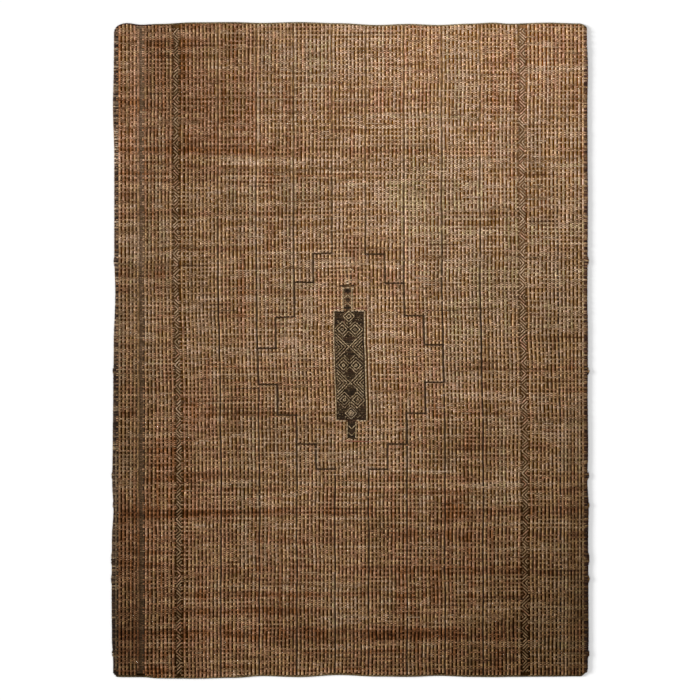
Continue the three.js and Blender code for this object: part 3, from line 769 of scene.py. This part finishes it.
def slant_lines(left, width, seed):
    """The slanting yarns of one band: parallel zigzags, each kept only where it lies in the band."""
    hand = np.random.default_rng(seed)
    low = end_edge(-1, left) + HEM_WIDTH + 11
    v = np.arange(low, end_edge(1, left) - HEM_WIDTH - 8, 3.5)
    uneven = v + 3.5 * patches(left, v, 60, 70, seed)
    swing = ZIGZAG_RISE - np.abs((uneven - low) % (2 * ZIGZAG_RISE) - ZIGZAG_RISE)
    lines = []
    for number in range(-int(ZIGZAG_RISE / STROKE_PITCH) - 1, int(width / STROKE_PITCH) + 1):
        x = left + STROKE_MARGIN + number * STROKE_PITCH + swing
        x = x + 1.3 * patches(left, v, 9, 20, seed + number + 9)
        keep = (x > left + STROKE_MARGIN) & (x < left + width - STROKE_MARGIN)
        for a, b in kept_runs(keep):
            count = b - a
            size = 1 + 0.15 * hand.uniform(-1, 1) + 0.08 * hand.uniform(-1, 1, count)
            arch = np.sin(np.linspace(0.25, math.pi - 0.25, count))
            y = v[a:b]
            tone = tone_of(x[a:b], y) * (1.0 + 0.3 * hand.uniform(-1, 1)) * (0.80 + 0.24 * arch)
            tone = tone * (1 + 0.15 * hand.uniform(-1, 1, count))
            hue = hand.uniform(0, 1)
            z = STROKE_LOW + STROKE_ARCH * arch
            lines.append(yarn_columns(laid(x[a:b], y), y, z, size, tone, hue))
    return lines


bands = [s for s in strips if s["kind"] == "zigzag"]
for name, band, seed in zip(("zigzag_left", "zigzag_right"), bands, (72, 82)):
    strokes = slant_lines(band["left"], band["width"], seed)
    lay_yarns(name, strokes, stroke_jute, half_width=2.6, half_height=1.6)

# The dark warps
# A few gaps hold a thin dyed warp beaten down between two ribs. It is thin and brown at the head of the rug,
# and thicker and almost black towards the foot.

DARK_HUES = ["#2A1A0A", "#362410", "#46321C"]
WARP_MIDDLE = 5.3
# A thin one near the right side, and two short ones over the tongue at the head of the panel
MORE_WARPS = [
    {"x": 791, "low": 12 - HALF_LENGTH, "high": HALF_LENGTH - 12, "seed": 88, "thickness": (0.3, 0.5, 0.9)},
    {"x": -10, "low": 252, "high": 350, "seed": 84, "thickness": (0.7, 0.7, 0.7)},
    {"x": 4, "low": 252, "high": 350, "seed": 84, "thickness": (0.7, 0.7, 0.7)},
]
STRIP_WARP = {"high": 240, "middle": 5.6}  # beside the plain strip, from the foot
dyed_jute = jute_yarn("dyed_black_brown_jute", DARK_HUES, "Y", relief=0.35)


def upright_line(x, low, high, z, seed, thickness=(0.55, 0.9, 1.4)):
    """A dark warp in a gap. thickness is at the head of the rug, a third of the way down and at the foot."""
    y = np.arange(low, high, ROW)
    hand = np.random.default_rng(seed)
    lie = laid(np.full(len(y), float(x)), y)
    share = (HALF_LENGTH - y) / (2 * HALF_LENGTH)
    size = np.interp(share, [0, 0.3, 1], thickness) * (1 + 0.10 * hand.uniform(-1, 1, len(y)))
    tone = tone_of(lie, y) * (1 + 0.25 * hand.uniform(-1, 1, len(y)))
    tone = tone * np.interp(share, [0.05, 0.45], [6.0, 1.0])  # brown at the head, black lower down
    hue = hand.uniform(0, 1, len(y))
    return yarn_columns(lie, y, z + 0.2 * hand.uniform(-1, 1, len(y)), size, tone, hue)


dark_lines = []
for number, gap in enumerate(g for g in DARK_GAPS if g["kind"] == "warp"):
    low = max(gap["low"], end_edge(-1, gap["x"]) + HEM_WIDTH)
    high = min(gap["high"], end_edge(1, gap["x"]) - HEM_WIDTH)
    dark_lines.append(upright_line(gap["x"], low, high, WARP_MIDDLE, 90 + number))
for warp in MORE_WARPS:
    dark_lines.append(
        upright_line(warp["x"], warp["low"], warp["high"], WARP_MIDDLE, warp["seed"], warp["thickness"])
    )
strip_side = strip["left"] + strip["width"]
low = end_edge(-1, strip_side) + HEM_WIDTH
dark_lines.append(upright_line(strip_side, low, STRIP_WARP["high"], STRIP_WARP["middle"], 89))
lay_yarns("dark_warps", dark_lines, dyed_jute, half_width=2.8, half_height=1.6)

# The stepped outline
# A thin dyed cord laid in by hand goes round the middle in steps. Its level parts run over the ribs and dip
# between them, and its upright parts stand in the gaps.

CORD_HALF_WIDTH, CORD_HALF_HEIGHT = 3.2, 1.4
HEAD_CORDS_FROM, HEAD_CORD_SIZE = 200, 0.85  # the level cords above this height are thinner
CORD_OVERLAP = 2
QUARTER_RIB = 3.6  # from point to point of a yarn that crosses the ribs


def off_rib(x):
    """How far x is from the nearest rib: 0 over its middle, and 1 in the gap beside it and beyond."""
    return np.clip(np.abs(x[:, None] - rib_x[None]).min(axis=1) / (RIB_PITCH / 2), 0, 1)


def level_line(left, right, y, seed, thickness=1.0):
    """A cord across the ribs from left to right."""
    hand = np.random.default_rng(seed)
    x = np.arange(left, right + 1, QUARTER_RIB)
    z = RIB_TOP + 0.8 - 1.1 * off_rib(x) ** 2
    lie_y = beaten(x, np.full(len(x), float(y))) + 0.5 * hand.uniform(-1, 1, len(x))
    tone = 1 + 0.25 * hand.uniform(-1, 1, len(x))
    return yarn_columns(laid(x, lie_y), lie_y, z, thickness, tone, hand.uniform(0, 1, len(x)))


level_cords = []
for side, lines in STEP_LINES.items():
    for i, level in enumerate(STEP_LEVELS[side]):
        column = i if i < 4 else 7 - i
        ends = sorted((lines[column], lines[column + 1]))
        thickness = HEAD_CORD_SIZE if level > HEAD_CORDS_FROM else 1.0
        level_cords.append(
            level_line(ends[0] - CORD_OVERLAP, ends[1] + CORD_OVERLAP, level, 110 + i, thickness)
        )
# Two dashes lie at the head of the tongue
level_cords += [level_line(-37, -12, 242, 121), level_line(2, 16, 242, 122)]
upright_cords = [
    upright_line(gap["x"], gap["low"], gap["high"] + ROW, 6.7, 130 + number, thickness=(0.6, 0.75, 1.05))
    for number, gap in enumerate(g for g in DARK_GAPS if g["kind"] == "upright")
]
cord_jute = jute_yarn("dyed_cord", DARK_HUES, "X", relief=0.35)
lay_yarns("level_cords", level_cords, cord_jute, CORD_HALF_WIDTH, CORD_HALF_HEIGHT)
lay_yarns("upright_cords", upright_cords, dyed_jute, CORD_HALF_WIDTH, CORD_HALF_HEIGHT)

# The panel
# The middle of the rug is a panel of dark dyed weft with two tongues. Grey-beige yarn is worked over it in
# rings round three pairs of lozenges, as far as the crossings between the pairs, and a column of dark
# lozenges is left plain.

PANEL_X, PANEL_Y = -5, -60
PANEL_HALF_WIDTH = 56
PANEL_TOP = 6.7
PANEL_HUES = ["#2A2014", "#382A1C", "#443422", "#3E2A1C"]
STITCH_HUES = ["#7E6C58", "#948062", "#A48E70", "#8A745C"]
# The pairs by their height from the middle of the panel, and which way is outward for the two at the ends
PAIRS = [{"y": 138, "outward": 1}, {"y": 2, "outward": 0}, {"y": -130, "outward": -1}]
PAIR_X = 24
PAIR_REACHES = (5, 18, 30, 42)
OUTER_RING_HALF_WIDTH = 13  # the outermost ring of an end pair is worked only this near the middle
CROSSINGS = [72, -64]
SIDE_X, SIDE_REACHES = 57, (9, 21, 33, 45, 57)
PLAIN_LOZENGES = [103, 41, -33, -95]
PLAIN_REACH = 19
END_LOZENGES = [{"y": 188, "reaches": (9, 21)}, {"y": -180, "reaches": (5, 11, 22)}]
STITCH_MARGIN = 4  # at the sides of the panel
PANEL_PITCH = 6.9
# The dark lozenges on the paler ground of the tongues
TONGUE_DARKS = [
    {"y": 224, "reach": 12}, {"y": 190, "reach": 11}, {"y": 161, "reach": 13}, {"y": -300, "reach": 60},
]
TONGUE_PALER = 4.6
dark_rows = row_lines(
    PANEL_X - PANEL_HALF_WIDTH, PANEL_X + PANEL_HALF_WIDTH,
    np.arange(PANEL_LOW + 3, PANEL_HIGH, PANEL_PITCH), PANEL_TOP, 151,
)
for tongue in TONGUES:
    rows_at = np.arange(tongue["low"] + 3, tongue["high"], PANEL_PITCH)
    lines = row_lines(
        tongue["x"] - TONGUE_HALF_WIDTH, tongue["x"] + TONGUE_HALF_WIDTH, rows_at, PANEL_TOP, 152,
        span=3.5, reach=-1.0,
    )
    for line in lines:
        off_middle = np.abs(line[:, 0] - laid(tongue["x"], line[0, 1]))
        in_darks = [off_middle + np.abs(line[:, 1] - mark["y"]) < mark["reach"] for mark in TONGUE_DARKS]
        dark = np.any(in_darks, axis=0)
        line[~dark, 4] *= TONGUE_PALER
    dark_rows += lines
panel_jute = jute_yarn("dyed_panel_weft", PANEL_HUES, "X")
lay_yarns("panel_ground", dark_rows, panel_jute, half_width=4.1, half_height=1.9)


def ring(x, y, reach, step=3.0):
    """The points round a lozenge, closed."""
    count = max(int(reach * math.sqrt(2) / step), 2)
    share = np.arange(count) / count
    quarter_x = np.concatenate([1 - share, -share, share - 1, share, [1]])
    quarter_y = np.concatenate([share, 1 - share, -share, share - 1, [0]])
    return x + reach * quarter_x, y + reach * quarter_y


def stitch_lines(x, y, keep, seed, weight=1.0, paleness=1.0):
    """Yarn worked along points given from the middle of the panel, where keep is true."""
    hand = np.random.default_rng(seed)
    lines = []
    for a, b in kept_runs(keep):
        count = b - a
        place_y = PANEL_Y + y[a:b] + 0.8 * hand.uniform(-1, 1, count)
        place_x = laid(PANEL_X + x[a:b], place_y) + 0.5 * hand.uniform(-1, 1, count)
        size = weight * (1 + 0.25 * hand.uniform(-1, 1, count))
        tone = paleness * (0.82 + 0.48 * hand.uniform(-1, 1, count) + 0.12 * hand.uniform(-1, 1))
        hue = np.clip(hand.uniform(0, 1) + 0.3 * hand.uniform(-1, 1, count), 0, 1)
        z = PANEL_TOP + 0.4 + 0.2 * hand.uniform(-1, 1, count)
        lines.append(yarn_columns(place_x, place_y, z, size, tone, hue))
    return lines


def off_plain(x, y):
    """True outside the dark lozenges that are left plain."""
    outside = [np.abs(x) + np.abs(y - plain) > PLAIN_REACH for plain in PLAIN_LOZENGES]
    return np.all(outside, axis=0)


stitches = []
for side in (-1, 1):
    for number, pair in enumerate(PAIRS):
        for reach in PAIR_REACHES:
            x, y = ring(side * PAIR_X, pair["y"], reach)
            from_side = [np.abs(x - side * SIDE_X) + np.abs(y - crossing) for crossing in CROSSINGS]
            keep = (side * x > 0) & (np.abs(x) < PANEL_HALF_WIDTH - STITCH_MARGIN) & off_plain(x, y)
            keep &= np.min(from_side, axis=0) > SIDE_REACHES[-1] + 5
            outward = pair["outward"] * (y - pair["y"]) > 0
            keep &= ~outward | (reach < PAIR_REACHES[-1]) | (np.abs(x) < OUTER_RING_HALF_WIDTH)
            stitches += stitch_lines(
                x, y, keep, 200 + 20 * number + reach + 7 * side, paleness=1.2 if reach < 20 else 0.95
            )
    for number, crossing in enumerate(CROSSINGS):
        for reach in SIDE_REACHES:
            x, y = ring(side * SIDE_X, crossing, reach)
            keep = (side * x > -1) & (np.abs(x) < PANEL_HALF_WIDTH - STITCH_MARGIN)
            arm = reach > 40  # the two outermost rings are bolder
            stitches += stitch_lines(
                x, y, keep, 300 + 20 * number + reach + 7 * side,
                weight=1.1 if arm else 0.95, paleness=1.15 if arm else 0.9,
            )
for number, end in enumerate(END_LOZENGES):
    for reach in end["reaches"]:
        x, y = ring(0, end["y"], reach)
        stitches += stitch_lines(x, y, x == x, 330 + number, paleness=1.25)
# A few stray stitches slant over the ribs above the tongue, each from one place to another
STRAY_STITCHES = [((-19, 340), (1, 349)), ((-6, 310), (10, 302)), ((-20, 262), (2, 267))]
for (start_x, start_y), (end_x, end_y) in STRAY_STITCHES:
    place_x, place_y = np.linspace(start_x, end_x, 6), np.linspace(start_y, end_y, 6)
    stitches.append(yarn_columns(place_x, place_y, RIB_TOP + 0.3, 1, 1.6, 0.6))
# Two chevrons lie on each tongue. Their points are away from the panel
CHEVRONS = [
    {"tongue": 0, "y": 204, "point": 1, "seed": 346}, {"tongue": 0, "y": 174, "point": 1, "seed": 351},
    {"tongue": 1, "y": -293, "point": -1, "seed": 346}, {"tongue": 1, "y": -319, "point": -1, "seed": 348},
]
across = np.linspace(-12, 12, 9)
for chevron in CHEVRONS:
    x = TONGUES[chevron["tongue"]]["x"] - PANEL_X + across
    y = chevron["y"] - PANEL_Y + chevron["point"] * (6 - np.abs(across))
    stitches += stitch_lines(x, y, x == x, chevron["seed"])
panel_stitch = jute_yarn("grey_beige_stitching", STITCH_HUES, "Y", relief=0.35)
lay_yarns("panel_lozenges", stitches, panel_stitch, half_width=1.6, half_height=1.1)

# Single grey-beige floats show here and there in the dark of the panel, fewer on the plain lozenges
SPECKS, SHARE_ON_PLAIN = 440, 0.25
SPECK_LENGTH, SPECK_BREADTH, SPECK_HEIGHT = (3, 6), (1.6, 2.6), 1.6
hand = np.random.default_rng(350)
speck_x = hand.uniform(-1, 1, SPECKS) * (PANEL_HALF_WIDTH - STITCH_MARGIN)
speck_y = hand.uniform(PANEL_LOW + 5, PANEL_HIGH - 5, SPECKS) - PANEL_Y
bare = off_plain(speck_x, speck_y) | (hand.uniform(0, 1, SPECKS) < SHARE_ON_PLAIN)
speck_x, speck_y = PANEL_X + speck_x[bare], PANEL_Y + speck_y[bare]
count = len(speck_x)
places = np.stack([laid(speck_x, speck_y), speck_y, np.full(count, PANEL_TOP + 0.1)], axis=-1)
lengths, breadths = hand.uniform(*SPECK_LENGTH, count), hand.uniform(*SPECK_BREADTH, count)
speck_sizes = np.stack([lengths, breadths, np.full(count, SPECK_HEIGHT)], axis=-1)
grow(
    "panel_specks",
    bar_points(
        "panel_specks", places, speck_sizes, hand.uniform(0.3, 0.95, count), hand.uniform(0, 1, count),
        hand.uniform(-0.8, 0.8, count),
    ),
    short_bars, {"Sides": 4, "Yarn": panel_stitch},
)

# A pale beaded yarn runs up each side of the panel, and a thinner one up each side of a tongue
BEAD_PITCH = 15
side_yarns = []
for number, x in enumerate((PANEL_X - 57, PANEL_X + 60)):
    hand = np.random.default_rng(340 + number)
    y = np.arange(PANEL_LOW, PANEL_HIGH + 1, 5.0)
    bead = np.cos(2 * math.pi * y / BEAD_PITCH)
    lie = laid(np.full(len(y), float(x)), y)
    hue = np.clip(0.5 + 0.4 * hand.uniform(-1, 1, len(y)), 0, 1)
    side_yarns.append(
        yarn_columns(lie, y, 6.2, 1 + 0.15 * bead, tone_of(lie, y) * (0.9 + 0.28 * bead), hue)
    )
for tongue in TONGUES:
    for side in (-1, 1):
        y = np.arange(tongue["low"] + 5, tongue["high"] - 4, 5.0)
        bead = np.cos(2 * math.pi * y / BEAD_PITCH)
        lie = laid(np.full(len(y), tongue["x"] + side * (TONGUE_HALF_WIDTH + 1.0)), y)
        tone = tone_of(lie, y) * (0.78 + 0.35 * bead)
        side_yarns.append(yarn_columns(lie, y, 6.6, 0.62 + 0.20 * bead, tone, 0.5))
border_jute = jute_yarn("panel_border_yarn", ["#9C8870", "#B09A7E", "#BCA68A"], "Y")
lay_yarns("panel_sides", side_yarns, border_jute, half_width=3.0, half_height=1.9, sides=6)

# Along its head and foot the panel is closed by a row of pale beads, with a thin reddish yarn beyond them
BEAD_X = np.array([-4.5, -1.5, 1.5, 4.5])
BEAD_SIZE = np.array([0.6, 1.0, 1.0, 0.6])
beads = []
for end_y, tongue in zip((PANEL_HIGH + 1, PANEL_LOW - 1), TONGUES):
    for number, x in enumerate(np.linspace(PANEL_X - 52, PANEL_X + 52, 9)):
        if abs(x - tongue["x"]) > 15:
            bead_x = x + BEAD_X
            bead_y = np.full(4, end_y + 1.2 * math.cos(2.1 * number))
            tone = 0.95 + 0.12 * math.cos(3.7 * number)
            beads.append(yarn_columns(laid(bead_x, bead_y), bead_y, 7.0, BEAD_SIZE, tone, 0.6))
# Four pale knots sit on the head of the tongue
KNOTS = [
    {"x": -26, "y": 234, "tone": 1.1}, {"x": -9, "y": 236, "tone": 0.9},
    {"x": 11, "y": 234, "tone": 1.1}, {"x": -9, "y": 253, "tone": 1.4},
]
for knot in KNOTS:
    knot_x = laid(knot["x"] + np.array([-4.0, -1.5, 1.5, 4.0]), np.full(4, knot["y"]))
    beads.append(yarn_columns(knot_x, knot["y"], 7.6, BEAD_SIZE, knot["tone"], 0.6))
lay_yarns("panel_beads", beads, border_jute, half_width=2.7, half_height=1.6, sides=6)
red_yarns = [level_line(a, b, y, 360) for a, b, y in ((-77, -35, 157), (18, 71, 156), (-24, 64, -346))]
red_jute = jute_yarn("reddish_yarn", ["#6A3A26", "#80493A"], "X")
lay_yarns("red_yarns", red_yarns, red_jute, half_width=1.7, half_height=1.1)

# Hems and selvedges
# The wefts turn back round the outer warp and make a close dark edge down each side, with a few loose loops,
# and low down at the left one more warp lies over them. At the ends the warps are tucked under a flat rolled
# hem of greyer yarn.

SELVEDGE_HUES = {
    -1: ["#3E302C", "#544238", "#6A564A", "#8C7868", "#B8A490"],
    1: ["#34221C", "#482E24", "#5A3E2E", "#76583E", "#9C805E"],
}
HEM_HUES = ["#6A5C42", "#7E6E52", "#8C7C5E", "#4A2E28"]
PURPLE_END = -760  # the hem at the head is purplish brown from its left end to here
LOOPS = [
    {"y": 338, "reach": 904, "height": 24}, {"y": -80, "reach": 905, "height": 22},
    {"y": -477, "reach": 905, "height": 24}, {"y": -589, "reach": 905, "height": 20},
    {"y": -794, "reach": 906, "height": 40}, {"y": -870, "reach": 906, "height": 26},
    {"y": -1155, "reach": 906, "height": 22},
]
LEAST_LOOP = 3  # no loop stands out less
CURL = {"back": 5.5, "across": 3.6, "along": 3.8, "turn": 2.4, "size": 0.45, "tone": 1.5}
OUTER_WARP = {"x": -893, "low": -1214, "high": -380}
TURN_TONE = {-1: 0.9, 1: 1.4}  # at the left and at the right
TURN_PITCH = 5.6
TURN_START = 883
TURN_HEIGHTS = np.array([5.6, 6.6, 5.6, 3.6, 1.3])  # from the outer warp over the edge and down
HEM_MIDDLE = 2.9
HEM_OVER_RIB, HEM_BETWEEN = {1: 1.35, -1: 1.85}, 0.65  # its tone at the head and at the foot, and in between


def edge_turns(side, seed):
    """The weft turns of one selvedge, each over the outer warp and down round the edge."""
    hand = np.random.default_rng(seed)
    corner = {c["end"]: c["along"] for c in CORNERS if c["side"] == side}
    lines = []
    for y in np.arange(-HALF_LENGTH + corner[-1] * 0.55, HALF_LENGTH - corner[1] * 0.55, TURN_PITCH):
        edge = abs(side_edge(side, y))
        for loop in LOOPS:
            near = abs(y - loop["y"]) / loop["height"]
            stands_out = max(loop["reach"] - edge, LEAST_LOOP)
            edge += stands_out * math.sqrt(max(0.0, 1 - (1.7 * near) ** 2))
        for end, along in corner.items():
            past = max(0.0, (end * y - HALF_LENGTH + along) / along)
            edge -= (1 - math.sqrt(max(0.0, 1 - past**2))) * 26
        outer = edge - 1.2
        x = side * np.array([TURN_START, (TURN_START + outer) / 2, outer - 2.5, outer - 0.4, outer])
        lie_y = y + 1.2 * hand.uniform(-1, 1) + np.linspace(0, 2.4, 5) * hand.uniform(-1, 1)
        size = 1 + 0.18 * hand.uniform(-1, 1)
        tone = tone_of(side * edge, y) * (TURN_TONE[side] + 0.45 * hand.uniform(-1, 1))
        hue = hand.uniform(0, 1) ** 1.3 + 0.15 * hand.uniform(-1, 1, 5)
        lines.append(yarn_columns(x, lie_y, TURN_HEIGHTS, size, tone, hue))
    if side < 0:
        y = np.arange(OUTER_WARP["low"], OUTER_WARP["high"], ROW)
        x = np.full(len(y), OUTER_WARP["x"])
        bead = np.cos(math.pi * np.arange(len(y)))
        tone = tone_of(x, y) * (0.95 + 0.25 * bead + 0.25 * hand.uniform(-1, 1, len(y)))
        hue = 0.8 + 0.2 * hand.uniform(-1, 1, len(y))
        lines.append(yarn_columns(x, y, 6.9, 1.1 + 0.1 * bead, tone, hue))
    # At some of the loops a pale turn stands out and curls back on itself
    for loop in LOOPS[1 if side > 0 else 2 :: 2]:
        turn = np.linspace(-CURL["turn"], CURL["turn"], 9)
        x = side * (loop["reach"] - CURL["back"] + CURL["across"] * np.cos(turn))
        lie_y = loop["y"] + CURL["along"] * np.sin(turn)
        tone = CURL["tone"] * float(tone_of(side * loop["reach"], loop["y"]))
        lines.append(yarn_columns(x, lie_y, 5.6, CURL["size"], tone, 1.0))
    return lines


for name, side in (("selvedge_left", -1), ("selvedge_right", 1)):
    selvedge_jute = jute_yarn(name + "_yarn", SELVEDGE_HUES[side], "X")
    lay_yarns(name, edge_turns(side, 401 + side), selvedge_jute, half_width=3.3, half_height=1.3)


def hem_line(end, seed):
    """The rolled hem of one end from corner to corner, paler where a rib passes over it."""
    hand = np.random.default_rng(seed)
    x = np.concatenate([np.linspace(-894, -850, 16), np.arange(-842, 843, 4.8), np.linspace(850, 894, 16)])
    y = end_edge(end, x) - end * 3.9
    size = 1 + 0.10 * hand.uniform(-1, 1, len(x))
    beads = HEM_OVER_RIB[end] + (HEM_BETWEEN - HEM_OVER_RIB[end]) * off_rib(x)
    tone = tone_of(x, y) * (beads + 0.18 * hand.uniform(-1, 1, len(x)))
    hue = 0.66 * hand.uniform(0, 1, len(x))
    hue[(x < PURPLE_END) & (end > 0)] = 1
    return yarn_columns(x, y, HEM_MIDDLE, size, tone, hue)


hem_jute = jute_yarn("rolled_hem_yarn", HEM_HUES, "X")
for name, end in (("hem_top", 1), ("hem_bottom", -1)):
    lay_yarns(name, [hem_line(end, 411 + end)], hem_jute, half_width=3.8, half_height=2.5, sides=8)

# Loose yarn on the face
# Some pale wefts come up and lie over several ribs, and some dark ones, and single hairs of jute stray from
# the yarn all over.

OVER_YARNS, LONGEST_OVER_YARN = 120, 76
DARK_DASHES, LONGEST_DARK_DASH = 120, 150
SHORTEST_YARN = 26
HAIRS = 1700
HAIR_HALF_WIDTH = 0.28


def over_lines(count, longest, seed, tone_range):
    """Short wefts lying over the ribs."""
    hand = np.random.default_rng(seed)
    lines = []
    while len(lines) < count:
        middle, row = hand.uniform(-860, 860), row_y[hand.integers(6, len(row_y) - 6)]
        length = SHORTEST_YARN + (longest - SHORTEST_YARN) * hand.uniform(0, 1) ** 2
        if np.any(in_panel(middle + length * np.linspace(-0.5, 0.5, 15), row, 12)):
            continue
        x = np.arange(max(middle - length / 2, -878), min(middle + length / 2, 878), QUARTER_RIB)
        if len(x) < 4:
            continue
        y = beaten(x, np.full(len(x), row)) + 1.4 * patches(x, row, 30, 40, seed + len(lines))
        z = RIB_TOP + 0.2 - 1.2 * off_rib(x) ** 2
        z[[0, -1]] -= 1.8
        tone = tone_of(x, y) * hand.uniform(*tone_range)
        hue = hand.uniform(0, 1)
        size = hand.uniform(0.75, 1.15) * (1 + 0.1 * hand.uniform(-1, 1, len(x)))
        lines.append(yarn_columns(laid(x, y), y, z, size, tone, hue))
    return lines


over_yarns = over_lines(OVER_YARNS, LONGEST_OVER_YARN, 501, (1.0, 1.35))
pale_jute = jute_yarn("pale_stray_weft", ["#B89C80", "#BEA490", "#B89A78"], "X")
lay_yarns("over_yarns", over_yarns, pale_jute, half_width=1.7, half_height=1.0)
dark_dashes = over_lines(DARK_DASHES, LONGEST_DARK_DASH, 701, (0.8, 1.2))
brown_jute = jute_yarn("dyed_brown_stray_weft", ["#5E3A1C", "#6E4420", "#3A2818"], "X")
lay_yarns("dark_dashes", dark_dashes, brown_jute, half_width=1.4, half_height=0.9)

hand = np.random.default_rng(801)
hairs = []
for x, y, heading, length, bend in zip(
    hand.uniform(-870, 870, HAIRS), hand.uniform(-1210, 1210, HAIRS), hand.uniform(0, math.tau, HAIRS),
    hand.uniform(12, 34, HAIRS), hand.uniform(-0.5, 0.5, HAIRS),
):
    along = np.array([-0.5, 0, 0.5]) * length
    aside = np.array([0, 1, 0]) * bend * length * 0.3
    hair_x = x + along * math.cos(heading) - aside * math.sin(heading)
    hair_y = y + along * math.sin(heading) + aside * math.cos(heading)
    lift = np.array([7.6, 8.5, 7.4])
    hairs.append(yarn_columns(hair_x, hair_y, lift, 1, float(tone_of(x, y)) * 1.15, 0.45))
lay_yarns("stray_hairs", hairs, weft_jute, HAIR_HALF_WIDTH, HAIR_HALF_WIDTH, sides=3)

# The studio
# A pale floor under an even sky, with a soft low light from the left that leaves a narrow shadow on the
# right. The camera looks straight down.

SKY_STRENGTH = 0.82
LOW_LIGHT = {"height": 14, "turn": -8, "width": 14, "strength": 5.5}  # in degrees, and watts a square metre

floor_mesh = bpy.data.meshes.new("floor")
floor_mesh.from_pydata([(-6, -6, 0), (6, -6, 0), (6, 6, 0), (-6, 6, 0)], [], [(0, 1, 2, 3)])
floor = bpy.data.objects.new("floor", floor_mesh)
floor.location.z = -0.2 * MM
bpy.context.scene.collection.objects.link(floor)
paper = bpy.data.materials.new("matt_white_paper")
paper.use_nodes = True
paper.node_tree.nodes["Principled BSDF"].inputs["Base Color"].default_value = linear("#EBEBEB")
paper.node_tree.nodes["Principled BSDF"].inputs["Roughness"].default_value = 1.0
floor_mesh.materials.append(paper)

world = bpy.data.worlds.new("studio")
world.use_nodes = True
world.node_tree.nodes["Background"].inputs["Color"].default_value = (1, 1, 1, 1)
world.node_tree.nodes["Background"].inputs["Strength"].default_value = SKY_STRENGTH
bpy.context.scene.world = world

lamp = bpy.data.lights.new("low_light", "SUN")
lamp.energy, lamp.angle = LOW_LIGHT["strength"], math.radians(LOW_LIGHT["width"])
stand = bpy.data.objects.new("low_light", lamp)
stand.rotation_euler = (0, -math.radians(90 - LOW_LIGHT["height"]), math.radians(LOW_LIGHT["turn"]))
bpy.context.scene.collection.objects.link(stand)

FRAME_WIDTH = 2.66  # metres that the picture takes in
lens = bpy.data.cameras.new("camera")
lens.lens, lens.sensor_width = 100, 36
lens.clip_end = 50
camera = bpy.data.objects.new("camera", lens)
camera.location = (-0.0046, 0, FRAME_WIDTH * lens.lens / lens.sensor_width + RIB_TOP * MM)
bpy.context.scene.collection.objects.link(camera)
bpy.context.scene.camera = camera
bpy.context.scene.view_settings.view_transform = "Standard"
